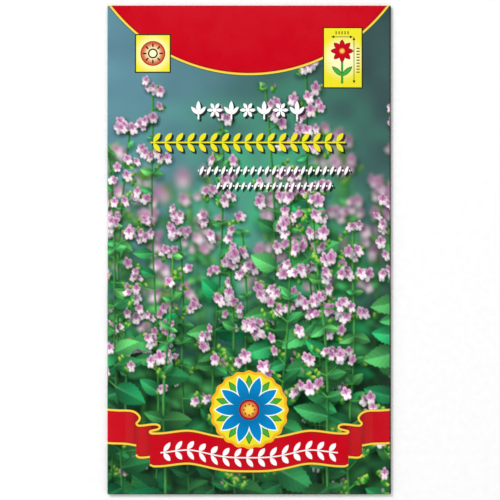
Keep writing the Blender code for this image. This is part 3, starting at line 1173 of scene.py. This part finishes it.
    def rosette(self) -> None:
        """A round scalloped rosette that one large flower fills, with blue petals over green sepals."""
        graph, sheet, radius = self.graph, self.sheet, self.layout.rosette_radius
        own = self.plane.moved(0, self.layout.rosette_centre)
        reach = own.reach()
        angle = graph.math("ARCTAN2", own.y, own.x)
        scallop = graph.math("COSINE", angle * 20) * 0.22
        sheet.lay(Ink.AMBER, reach - scallop - radius)
        sheet.lay(Ink.LEMON, reach - scallop - (radius - 0.8))
        sepals = own.turned(math.pi / 10).spoked(10).moved(6.3, 0).leaf(3.3, 0.95)
        sheet.lay(Ink.DARK_GREEN, sepals - 0.1)
        sheet.lay(Ink.GREEN, sepals + 0.08)
        petals = own.spoked(10).moved(5.4, 0).leaf(4.1, 1.5)
        sheet.lay(Ink.WHITE, petals - 0.3)
        sheet.lay(graph.mix(Ink.BLUE * 0.7, Ink.BLUE, graph.mapped(reach, 3, 8)), petals)
        sheet.lay(Ink.DARK_RED, reach - 2.9)
        sheet.lay(graph.mix(Ink.YELLOW, Ink.ORANGE, graph.mapped(reach, 0.6, 2.4)), reach - 2.4)
        sheet.lay(Ink.DARK_RED, own.spoked(8).moved(1.5, 0).disc(0.24))


def sun(plane: Plane) -> Wire:
    """A disc with eight rays."""
    return plane.graph.least(plane.disc(1.35), plane.spoked(8).moved(2.5, 0).box(0.6, 0.24))


def drop(plane: Plane) -> Wire:
    """A drop of water."""
    upper = Plane(plane.graph, plane.y - 0.5, plane.x).leaf(2.6, 1.35)
    return plane.graph.least(plane.moved(0, -0.8).disc(1.7), upper)


def seedling(plane: Plane) -> Wire:
    """A stem with two leaves."""
    stem = plane.moved(0, -1.6).box(0.24, 2.0)
    return plane.graph.least(stem, plane.mirrored().moved(1.7, 1.2).turned(0.55).leaf(2.0, 0.85))


class PrintedBack:
    """The pale side of the print: a header, signs with ruled lines, a plain sowing calendar, an empty panel
    for a stamp and a row of ornament."""

    def __init__(self) -> None:
        """Starts the material with pale paper."""
        self.graph = Graph("printed_back")
        self.plane = Plane.of_object(self.graph, sign=-1)
        self.sheet = Overprint(self.graph, Ink.PAPER)

    def material(self) -> bpy.types.Material:
        """Prints the back, and gives the paper its grain.

        Returns:
            The material.
        """
        graph, sheet = self.graph, self.sheet
        top = self.plane.moved(0, 49)
        header = top.box(34, 6)
        sheet.lay(Ink.DARK_GREEN, header - 0.75, 0.7)
        sheet.lay(Ink.YELLOW, header - 0.6)
        sheet.lay(Ink.RED, header)
        sheet.lay(Ink.WHITE, Row(top, 26, 15, 3.0).laurel())
        for level, ink, sign in ((32, Ink.ORANGE, sun), (18, Ink.BLUE, drop), (4, Ink.GREEN, seedling)):
            self.ruled_block(level, ink, sign)
        self.calendar()
        panel = self.plane.moved(0, -39)
        sheet.lay(Ink.GREEN, panel.box(31, 9))
        sheet.lay(Ink.WHITE, panel.box(30.6, 8.6))
        sheet.lay(Ink.GREEN, self.chain())
        relief = graph.bump(graph.speckle(0.3 * MM, detail=4), 0.006 * MM, 0.8)
        roughness = graph.mapped(graph.speckle(5 * MM, detail=3), 0.3, 0.7, 0.46, 0.56)
        return graph.finish(sheet.colour, roughness, relief)

    def chain(self) -> Wire:
        """Small leaves with dots between them, in a row across the foot of the panel.

        Returns:
            The shape.
        """
        plane, pitch = self.plane.moved(0, -53.2), 3.1
        cell = plane.repeated(pitch)
        dots = Plane(self.graph, abs(cell.x) - pitch / 2, cell.y).disc(0.26)
        return self.graph.most(self.graph.least(cell.leaf(0.95, 0.42), dots), abs(plane.x) - 29.9)

    def ruled_block(self, level: float, ink: Array, sign: Callable[[Plane], Wire]) -> None:
        """A round sign, with four ruled lines beside it, the last one short.

        Args:
            level: of its middle, in mm.
            ink: of the disc.
            sign: makes the white shape on the disc.
        """
        graph, sheet, plane, line_pitch = self.graph, self.sheet, self.plane.moved(0, level), 2.4
        disc = plane.moved(-26.2, 0)
        sheet.lay(Ink.DARK_GREEN, disc.disc(4.95), 0.8)
        sheet.lay(ink, disc.disc(4.75))
        sheet.lay(Ink.WHITE, sign(disc))
        lines = plane.moved(6, 0)
        own_y = graph.math("WRAP", lines.y, line_pitch, 0.0) - line_pitch / 2
        rows = Plane(graph, lines.x, own_y).box(25, 0.14)
        block = graph.most(rows, abs(lines.y) - 2 * line_pitch)
        sheet.lay(Ink.RULE, graph.most(block, graph.least(-line_pitch - lines.y, lines.x - 8)), 0.9)

    def calendar(self) -> None:
        """Twelve columns and three rows of little boxes, and a bar across some of them in two of the rows."""
        graph, sheet, plane = self.graph, self.sheet, self.plane.moved(0, -16)
        grid = plane.box(30, 8.2)
        sheet.lay(Ink.GREEN, grid - 0.25)
        sheet.lay(Ink.WHITE, grid)
        sheet.lay(Ink.GREEN, plane.moved(-12.5, 2.7).box(7.4, 2.2))
        sheet.lay(Ink.AMBER, plane.moved(5, -2.7).box(14.9, 2.2))
        x, y = graph.math("WRAP", plane.x, 2.5, -2.5), graph.math("WRAP", plane.y + 2.7, 2.7, -2.7)
        edge = -graph.most(abs(x) - 2.42, abs(y) - 2.62)
        sheet.lay(Ink.RULE, graph.most(edge, grid))


@dataclass(frozen=True)
class Coat:
    """A plain material, made uneven by one noise. grain and depth are in mm."""

    name: str
    dark: Array
    light: Array
    grain: float
    detail: float
    depth: float
    strength: float
    rough: tuple[float, float]
    contrast: tuple[float, float] = (0.3, 0.7)
    stretch: tuple[float, float, float] = (1, 1, 1)

    def material(self) -> bpy.types.Material:
        """Makes the material.

        Returns:
            The material.
        """
        graph = Graph(self.name)
        lumps = graph.speckle(self.grain * MM, self.detail, self.stretch)
        colour = graph.mix(self.dark, self.light, graph.mapped(lumps, *self.contrast))
        normal = graph.bump(lumps, self.depth * MM, self.strength)
        return graph.finish(colour, graph.mapped(lumps, 0.3, 0.7, *self.rough), normal)


BARE_PAPER = Coat("bare_paper", linear(236, 234, 226), linear(250, 249, 244), grain=0.25, detail=5,
                  depth=0.01, strength=0.7, rough=(0.75, 0.85), stretch=(1, 2.5, 1))
DRIED_GLUE = Coat("dried_glue", linear(232, 222, 190), linear(244, 238, 216), grain=1.5, detail=3,
                  depth=0.05, strength=0.8, rough=(0.3, 0.5), contrast=(0.35, 0.65))


class Glassine:
    """The sachet's thin glazed paper, milky and slightly crumpled."""

    def material(self) -> bpy.types.Material:
        """Makes the material.

        Returns:
            The material.
        """
        graph = Graph("sachet_glassine")
        cloud = graph.speckle(3 * MM, detail=4)
        colour = graph.mix(linear(226, 222, 206), linear(244, 242, 232), graph.mapped(cloud, 0.35, 0.65))
        normal = graph.bump(graph.speckle(7 * MM, detail=2), 0.4 * MM, 0.5)
        normal = graph.bump(graph.speckle(0.4 * MM, detail=3), 0.006 * MM, 0.7, under=normal)
        return graph.finish(colour, graph.mapped(cloud, 0.3, 0.7, 0.28, 0.42), normal)


class SeedCoat:
    """The brown coat of the seeds, finely pitted."""

    def material(self) -> bpy.types.Material:
        """Makes the material.

        Returns:
            The material.
        """
        graph = Graph("seed_coat")
        pits = graph.speckle(0.12 * MM, detail=3)
        tone = graph.speckle(1.1 * MM, detail=1, seed=5)
        colour = graph.mix(linear(70, 44, 26), linear(142, 96, 56), graph.mapped(tone, 0.3, 0.7))
        # darker down in the pits: a painted shade where the relief is low
        colour = graph.mix(colour, linear(46, 28, 16), graph.mapped(pits, 0.6, 0.42, 0.0, 0.7))
        return graph.finish(colour, graph.mapped(pits, 0.3, 0.7, 0.65, 0.5), graph.bump(pits, 0.03 * MM, 0.8))


class Element(Enum):
    """The kinds of element that edit mode selects."""

    EDGE = "EDGE"
    FACE = "FACE"


class Bench:
    """A mesh piece that is worked on in edit mode, where its edges and faces are selected by their place."""

    def __init__(self, piece: bpy.types.Object) -> None:
        """Takes the piece that is worked on."""
        self.piece = piece

    def __enter__(self) -> "Bench":
        """Goes into edit mode on this piece alone.

        Returns:
            The bench.
        """
        bpy.ops.object.select_all(action="DESELECT")
        self.piece.select_set(True)
        bpy.context.view_layer.objects.active = self.piece
        bpy.ops.object.mode_set(mode="EDIT")
        return self

    def __exit__(self, *problem: object) -> None:
        """Goes back to object mode."""
        bpy.ops.object.mode_set(mode="OBJECT")

    @property
    def mesh(self) -> bmesh.types.BMesh:
        """The mesh as it is now."""
        return bmesh.from_edit_mesh(self.piece.data)

    def select(self, kind: Element, test: Callable) -> None:
        """Selects the edges or faces that pass a test, and nothing else.

        Args:
            kind: what is selected.
            test: is given each edge or face.
        """
        bpy.ops.mesh.select_mode(type=kind.value)
        bpy.ops.mesh.select_all(action="DESELECT")
        mesh = self.mesh
        for part in [part for part in (mesh.edges if kind is Element.EDGE else mesh.faces) if test(part)]:
            part.select_set(True)
        bmesh.update_edit_mesh(self.piece.data)

    def keep(self, test: Callable) -> None:
        """Of the selected edges, leaves only those that pass a test selected."""
        chosen = {edge.index for edge in self.mesh.edges if edge.select and test(edge)}
        self.select(Element.EDGE, lambda edge: edge.index in chosen)

    def place(self, move: Callable) -> None:
        """Moves the selected vertices.

        Args:
            move: gives a vertex's new place for its present one.
        """
        for vertex in self.mesh.verts:
            if vertex.select:
                vertex.co = move(vertex.co)
        bmesh.update_edit_mesh(self.piece.data)


def stations(marks: list[float], step: float) -> list[float]:
    """Fills in stops between marks.

    Args:
        marks: places in rising order.
        step: the most that two neighbouring stops may be apart.

    Returns:
        The marks, with even stops between them.
    """
    found = [marks[0]]
    for start, end in zip(marks, marks[1:]):
        count = max(1, math.ceil((end - start) / step - 1e-6))
        found += [start + (end - start) * i / count for i in range(1, count + 1)]
    return found


def both_ways(marks: list[float]) -> list[float]:
    """The marks, which start at 0, with their mirrored ones before them."""
    return [-mark for mark in reversed(marks)] + marks[1:]


def read(parts: bpy.types.bpy_prop_collection, name: str, width: int = 1, kind: type = float) -> Array:
    """Reads one property of all parts of a mesh.

    Args:
        parts: such as the mesh's vertices.
        name: the property's.
        width: how many numbers it has.
        kind: of number.

    Returns:
        The numbers, with a row for each part where there are several to it.
    """
    values = np.empty(len(parts) * width, dtype=kind)
    parts.foreach_get(name, values)
    return values.reshape(-1, width) if width > 1 else values


@dataclass(frozen=True)
class MapPlace:
    """Where one side of the sheet lies on the square map that keeps its colours, and its size there. Its
    numbers are shares of the map's side."""

    left: float
    low: float
    width: float
    height: float

    def of(self, x: Array, y: Array, half_width: float, half_height: float) -> Array:
        """The places on the map of places on the packet, which is twice these halves wide and high."""
        along, up = (x / half_width + 1) / 2, (y / half_height + 1) / 2
        return np.stack([self.left + self.width * along, self.low + self.height * up], axis=-1)


@dataclass
class PaperEnvelope:
    """One die-cut printed sheet: front, back, seam flap and two end flaps, folded round. Sizes in metres."""

    paper: float = 0.15 * MM
    fold_radius: float = 0.175 * MM
    fold_steps: int = 8
    bulge: float = 1.5 * MM
    bulge_reach_x: float = 20 * MM
    bulge_reach_y: float = 26 * MM
    end_flap_depth: float = 12 * MM
    end_flap_taper: float = 3.5 * MM
    side_flap_depth: float = 12 * MM
    side_flap_taper: float = 3 * MM
    side_flap_start: float = 17 * MM
    side_lip_depth: float = 2.5 * MM
    back_edge_setback: float = 3.2 * MM
    corner_notch: float = 0.06 * MM
    corner_reach: float = 1.2
    panel_setback: float = 2.6 * MM
    flap_settle: float = 2 * MM
    back_step_start: float = 12.6 * MM
    back_step_end: float = 16 * MM
    back_side_settle: float = 3 * MM
    layer_pitch: float = 0.45 * MM
    cell: float = 5.8 * MM
    print_pitch: float = 0.36 * MM
    end_margin: float = 0.3 * MM
    side_margin: float = 0.2 * MM
    side_setback: float = 3 * MM
    smooth_below: float = math.radians(40)

    NODE: ClassVar[str] = "paper_envelope"
    FRONT, BACK, BARE = range(3)
    PRINT_PLACE: ClassVar[MapPlace] = MapPlace(0.006, 0.006, 0.5727, 0.988)
    BACK_PLACE: ClassVar[MapPlace] = MapPlace(0.59, 0.302, 0.401, 0.6916)
    HIDDEN_PLACE: ClassVar[MapPlace] = MapPlace(0.59, 0.156, 0.401, 0.134)
    BARE_PLACE: ClassVar[MapPlace] = MapPlace(0.59, 0.008, 0.401, 0.134)

    def __post_init__(self) -> None:
        """Works out the levels and the front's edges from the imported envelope's box."""
        _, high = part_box(self.NODE)
        self.front_x = high.x - self.fold_radius - self.paper / 2
        self.front_y = high.y - self.fold_radius - self.paper / 2
        self.table_level = self.paper / 2
        self.second_level = self.table_level + self.layer_pitch
        self.fold_centre = self.second_level + self.fold_radius
        self.front_edge_level = self.fold_centre + self.fold_radius

    def front_level(self, x: float, y: float) -> float:
        """Height of the middle of the front's paper, which bulges over the sachet.

        Args:
            x: the place.
            y: the place.

        Returns:
            The height.
        """
        short_x = 1 - min((self.front_x - abs(x)) / self.bulge_reach_x, 1)
        short_y = 1 - min((self.front_y - abs(y)) / self.bulge_reach_y, 1)
        return self.front_edge_level + self.bulge * (1 - short_x**2) * (1 - short_y**2)

    def back_level(self, x: float, y: float) -> float:
        """Height of the middle of the back's paper, which steps up over the end flaps and at the side fold.

        Args:
            x: the place.
            y: the place.

        Returns:
            The height.
        """
        over_flaps = 1 - smooth(self.back_step_start, self.back_step_end, self.front_y - abs(y))
        by_fold = 1 - smooth(0, self.back_side_settle, self.front_x + x)
        return self.table_level + self.layer_pitch * float(max(over_flaps, by_fold))

    def build(self, canvas: Canvas) -> bpy.types.Object:
        """Makes the piece, prints it and dresses it.

        Args:
            canvas: the picture on its front.

        Returns:
            The finished piece.
        """
        piece = self.front_sheet()
        self.bench = Bench(piece)
        for finish in (PrintedFront(), PrintedBack(), BARE_PAPER):
            piece.data.materials.append(finish.material())
        with self.bench:
            self.add_back()
            self.add_side_flap()
            self.add_end_flap(1)
            self.add_end_flap(-1)
            self.square_corners()
        self.thicken()
        with self.bench:
            self.refine_front()
        bpy.ops.object.shade_smooth_by_angle(angle=self.smooth_below)
        self.print_picture(canvas)
        self.lay_out_map()
        return piece

    def front_sheet(self) -> bpy.types.Object:
        """Makes the front panel, with a row or a column wherever a fold or a flap ends.

        Returns:
            The panel.
        """
        columns = stations(both_ways([0, self.front_x - self.corner_notch, self.front_x]), self.cell)
        rows = stations(both_ways([0, self.front_y - self.side_flap_start, self.front_y - self.panel_setback,
                                   self.front_y - self.corner_notch, self.front_y]), self.cell * 1.25)
        bpy.ops.object.select_all(action="DESELECT")
        bpy.ops.mesh.primitive_grid_add(x_subdivisions=len(columns) - 1, y_subdivisions=len(rows) - 1, size=2)
        piece = bpy.context.object
        piece.name = piece.data.name = "printed_envelope"

        def spread(place: Vector) -> tuple[float, float, float]:
            """Moves a vertex of the even grid to its own column and row.

            Args:
                place: the vertex's.

            Returns:
                Its new place.
            """
            x = columns[round((place.x + 1) / 2 * (len(columns) - 1))]
            y = rows[round((place.y + 1) / 2 * (len(rows) - 1))]
            return x, y, self.front_level(x, y)

        with Bench(piece) as bench:
            bench.select(Element.FACE, lambda face: True)
            bench.place(spread)
        return piece

    def fold(self, along: int, end: int) -> None:
        """Turns the paper under at one edge of the front, and leaves the last edges selected.

        Args:
            along: the axis that the fold runs along, 0 for x and 1 for y.
            end: 1 at the far end of the other axis, and -1 at its near end.
        """
        across, half = 1 - along, (self.front_x, self.front_y)
        reach = half[along] - self.corner_notch + TOUCH
        self.bench.select(Element.EDGE, lambda edge: edge.is_boundary and all(
            end * v.co[across] > half[across] - TOUCH and abs(v.co[along]) < reach for v in edge.verts))
        centre, axis = [0.0, 0.0, self.fold_centre], [0, 0, 0]
        centre[across], axis[along] = end * half[across], 1
        turn = end * math.pi * (1 if along == 0 else -1)
        bpy.ops.mesh.spin(steps=self.fold_steps, angle=turn, center=centre, axis=axis)

    def within(self, half_height: float) -> None:
        """Leaves only the selected edges no further than this from the middle, up and down."""
        self.bench.keep(lambda edge: all(abs(v.co.y) < half_height + TOUCH for v in edge.verts))

    def run_on(self, x: float, y: float = 0.0) -> None:
        """Extrudes the selected edges, and paints the new faces as back.

        Args:
            x: how far.
            y: how far.
        """
        bpy.ops.mesh.extrude_edges_indiv()
        bpy.ops.transform.translate(value=(x, y, 0))
        for face in {face for edge in self.bench.mesh.edges if edge.select for face in edge.link_faces}:
            face.material_index = self.BACK
        bmesh.update_edit_mesh(self.bench.piece.data)

    def add_back(self) -> None:
        """Folds the back panel under from the left side."""
        self.fold(along=1, end=-1)
        self.within(self.front_y - self.panel_setback)
        ways = stations([0, self.back_side_settle, 2 * self.front_x - self.back_edge_setback], self.cell / 2)
        for start, way in zip(ways, ways[1:]):
            self.run_on(way - start)
            self.bench.place(lambda place: (place.x, place.y, self.back_level(place.x, place.y)))

    def add_side_flap(self) -> None:
        """Folds the seam flap under from the right side: a narrow lip, wide between the end flaps."""
        self.fold(along=1, end=1)
        self.within(self.front_y - self.panel_setback)
        self.run_on(-self.side_lip_depth)
        half_height = self.front_y - self.side_flap_start
        self.within(half_height)
        self.run_on(-self.side_flap_taper)
        narrowing = 1 - self.side_flap_taper / half_height
        bpy.ops.transform.resize(value=(1, narrowing, 1), center_override=(0, 0, 0))
        self.run_on(self.side_lip_depth + self.side_flap_taper - self.side_flap_depth)

    def add_end_flap(self, end: int) -> None:
        """Folds an end flap under the back panel.

        Args:
            end: 1 at the packet's top and -1 at its bottom.
        """
        self.fold(along=0, end=end)
        ways = stations([0, self.flap_settle], self.flap_settle / 4)
        ways += stations([self.flap_settle, self.end_flap_depth], self.cell)[1:]
        taper = self.end_flap_taper / self.front_x / self.end_flap_depth
        for start, way in zip(ways, ways[1:]):
            self.run_on(0, end * (start - way))
            narrowing = (1 - way * taper) / (1 - start * taper)
            level = self.second_level - self.layer_pitch * float(smooth(0, self.flap_settle, way))
            self.bench.place(lambda place: (place.x * narrowing, place.y, level))

    def square_corners(self) -> None:
        """Draws the folds' ends out towards the packet's corners, and turns all faces outwards."""
        self.bench.select(Element.FACE, lambda face: True)
        self.bench.place(self.squared)
        bpy.ops.mesh.normals_make_consistent(inside=False)
        if max(self.bench.mesh.faces, key=lambda face: face.calc_center_median().z).normal.z < 0:
            bpy.ops.mesh.flip_normals()

    def squared(self, place: Vector) -> Vector:
        """Draws a fold's end out towards the packet's corner.

        Args:
            place: a vertex's.

        Returns:
            Its new place, or the same one where it isn't at a fold's end.
        """
        beyond_x, beyond_y = abs(place.x) - self.front_x, abs(place.y) - self.front_y
        near = -self.corner_notch - TOUCH
        if beyond_x > TOUCH and beyond_y > near:
            return Vector((place.x, place.y + math.copysign(self.corner_reach * beyond_x, place.y), place.z))
        if beyond_y > TOUCH and beyond_x > near:
            return Vector((place.x + math.copysign(self.corner_reach * beyond_y, place.x), place.y, place.z))
        return place

    def thicken(self) -> None:
        """Gives the sheet its thickness, bare inside and on its cut edges."""
        wall = self.bench.piece.modifiers.new("paper_thickness", "SOLIDIFY")
        wall.thickness = self.paper
        wall.offset = 0
        wall.use_even_offset = True
        wall.material_offset = wall.material_offset_rim = self.BARE
        bpy.ops.object.modifier_apply(modifier=wall.name)

    def is_print(self, face: bmesh.types.BMFace) -> bool:
        """Tells the printed outside of the front panel.

        Args:
            face: any face of the piece.

        Returns:
            True if the face is part of it.
        """
        if face.material_index != self.FRONT or face.normal.z < 0.5:
            return False
        middle = face.calc_center_median()
        return abs(middle.x) < self.front_x and abs(middle.y) < self.front_y

    def refine_front(self) -> None:
        """Cuts the printed panel finely enough to carry the picture, and rounds its bulge."""
        bench, skin = self.bench, self.paper / 2
        for along in (0, 1):
            counts = {self.cuts_across(edge, along) for edge in bench.mesh.edges}
            for cuts in sorted(counts - {0}):
                bench.select(Element.EDGE, lambda edge: self.cuts_across(edge, along) == cuts)
                bpy.ops.mesh.subdivide(number_cuts=cuts)
        bench.select(Element.FACE, self.is_print)
        bench.place(lambda place: (place.x, place.y, self.front_level(place.x, place.y) + skin))
        bench.select(Element.FACE, lambda face: True)
        bpy.ops.mesh.quads_convert_to_tris(quad_method="FIXED_ALTERNATE", ngon_method="BEAUTY")

    def cuts_across(self, edge: bmesh.types.BMEdge, along: int) -> int:
        """How many cuts an edge needs.

        Args:
            edge: any edge of the piece.
            along: the axis that it has to run along.

        Returns:
            The number, which is 0 for an edge that runs another way or isn't on the printed panel.
        """
        way = edge.verts[1].co - edge.verts[0].co
        if abs(way[along]) < abs(way[1 - along]) or not any(self.is_print(face) for face in edge.link_faces):
            return 0
        return max(round(abs(way[along]) / self.print_pitch) - 1, 0)

    def corner_places(self) -> Array:
        """The place of each corner of each face."""
        mesh = self.bench.piece.data
        return read(mesh.vertices, "co", 3)[read(mesh.loops, "vertex_index", kind=int)]

    def print_picture(self, canvas: Canvas) -> None:
        """Gives every corner of every face the picture's colour, a little inside its own triangle.

        Args:
            canvas: the picture.
        """
        own = self.corner_places().reshape(-1, 3, 3)
        inner = (own + (own.mean(axis=1, keepdims=True) - own) / 3).reshape(-1, 3) / MM
        colours = np.ones((len(inner), 4), dtype=np.float32)
        colours[:, :3] = canvas.at(inner[:, 0], inner[:, 1])
        layer = self.bench.piece.data.color_attributes.new(PrintedFront.ATTRIBUTE, "FLOAT_COLOR", "CORNER")
        layer.data.foreach_set("color", colours.ravel())

    def lay_out_map(self) -> None:
        """Lays the triangles out on a map: the print as seen from above, the back as seen from below, and
        what is hidden or bare small, each in its own place."""
        faces = self.bench.piece.data.polygons
        kind, up = read(faces, "material_index", kind=int), read(faces, "normal", 3)[:, 2] >= 0
        x, y, z = read(faces, "center", 3).T
        under_end = abs(y) > self.front_y - self.end_flap_depth - self.end_margin
        under_side = (x > 0) & (x < self.front_x - self.side_setback)
        under_side &= abs(y) < self.front_y - self.side_flap_start + self.side_margin
        covered = (z > (self.table_level + self.second_level) / 2) & (under_end | under_side)
        sides = (up, (kind == self.BACK) & covered, kind == self.BARE)
        seen, hidden, bare = (np.repeat(part, 3)[:, None] for part in sides)
        x, y, z = self.corner_places().T
        x = np.where(seen[:, 0], x, -x)
        half = np.array((self.front_x, self.front_y)) + self.fold_radius
        spots = np.where(seen, self.PRINT_PLACE.of(x, y, *half), self.BACK_PLACE.of(x, y, *half))
        spots = np.where(hidden, self.HIDDEN_PLACE.of(x, y, *half), spots)
        # Bare edges are upright, so their height is added to spread them.
        spots = np.where(bare, self.BARE_PLACE.of(x + z, y + z, *(half + 2 * z.max())), spots)
        layer = self.bench.piece.data.uv_layers.new(name="OFBake", do_init=False)
        layer.uv.foreach_set("vector", spots.astype(np.float32).ravel())


@dataclass
class Studio:
    """A pale floor, soft lights and a camera straight above the packet."""

    view_width: float = 141.1 * MM
    lens: float = 200.0
    sensor: float = 36.0
    centre: tuple[float, float] = (0.24 * MM, 0.0)
    focus_level: float = 0.9 * MM
    dome: float = 0.83
    dome_opening: tuple[float, float] = (0.86, 0.97)
    key_place: tuple[float, float, float] = (-0.84, 0.92, 1.04)
    key_size: float = 0.56
    key_power: float = 15.0

    def build(self) -> None:
        """Sets everything up."""
        self.floor()
        self.camera()
        self.world()
        self.key_light()
        bpy.context.scene.view_settings.view_transform = "Standard"

    def floor(self) -> None:
        """A near-white floor."""
        bpy.ops.object.select_all(action="DESELECT")
        bpy.ops.mesh.primitive_plane_add(size=4)
        floor = bpy.context.object
        floor.name = "floor"
        graph = Graph("floor_card")
        grain = graph.mapped(graph.speckle(2 * MM, detail=2), 0.3, 0.7)
        colour = graph.mix(linear(250, 250, 250), linear(253, 253, 253), grain)
        floor.data.materials.append(graph.finish(colour, 0.9, specular=0.1))

    def camera(self) -> None:
        """Looks straight down, and frames the packet as the photo does."""
        data = bpy.data.cameras.new("camera")
        data.lens = self.lens
        data.sensor_width = self.sensor
        data.clip_end = 10
        camera = bpy.data.objects.new("camera", data)
        camera.location = (*self.centre, self.focus_level + self.view_width * self.lens / self.sensor)
        bpy.context.collection.objects.link(camera)
        bpy.context.scene.camera = camera

    def world(self) -> None:
        """An even light from all round, but none from straight above, from where gloss would reflect it."""
        world = bpy.data.worlds.new("studio")
        world.use_nodes = True
        tree = world.node_tree
        way = tree.nodes.new("ShaderNodeTexCoord")
        height = tree.nodes.new("ShaderNodeSeparateXYZ")
        fade = tree.nodes.new("ShaderNodeMapRange")
        fade.interpolation_type = "SMOOTHSTEP"
        fading = (*self.dome_opening, self.dome, 0.0)
        for name, value in zip(("From Min", "From Max", "To Min", "To Max"), fading):
            fade.inputs[name].default_value = value
        tree.links.new(way.outputs["Generated"], height.inputs[0])
        tree.links.new(height.outputs["Z"], fade.inputs["Value"])
        tree.links.new(fade.outputs["Result"], tree.nodes["Background"].inputs["Strength"])
        tree.nodes["Background"].inputs["Color"].default_value = (1, 1, 1, 1)
        bpy.context.scene.world = world

    def key_light(self) -> None:
        """A soft square light to the packet's upper left, filtered so that gloss doesn't veil the print."""
        data = bpy.data.lights.new("key", "AREA")
        data.size = self.key_size
        data.energy = self.key_power
        light = bpy.data.objects.new("key", data)
        light.location = self.key_place
        light.rotation_euler = (-Vector(self.key_place)).to_track_quat("-Z", "Y").to_euler()
        light.visible_glossy = False
        bpy.context.collection.objects.link(light)


def dress(node: bpy.types.Object, material: bpy.types.Material) -> None:
    """Gives a CAD node its material."""
    for slot in node.material_slots:
        slot.material = material


def main() -> None:
    """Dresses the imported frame, and sets up the studio round it."""
    logging.basicConfig(level=logging.INFO, format="%(name)s: %(message)s")
    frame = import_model()
    canvas = Meadow().painted()
    LOG.info("painted the meadow, %d by %d points", canvas.columns, canvas.rows)
    envelope = PaperEnvelope().build(canvas)
    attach(envelope, "root")
    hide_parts("paper_envelope")
    LOG.info("%s: %d faces", envelope.name, len(envelope.data.polygons))
    finishes = {"side_seam_glue": DRIED_GLUE, "top_flap_glue": DRIED_GLUE, "bottom_flap_glue": DRIED_GLUE,
                "inner_sachet": Glassine(), "seeds": SeedCoat()}
    for name, finish in finishes.items():
        dress(frame["nodes"][name], finish.material())
        LOG.info("%s: dressed", name)
    Studio().build()


if __name__ == "__main__":
    main()
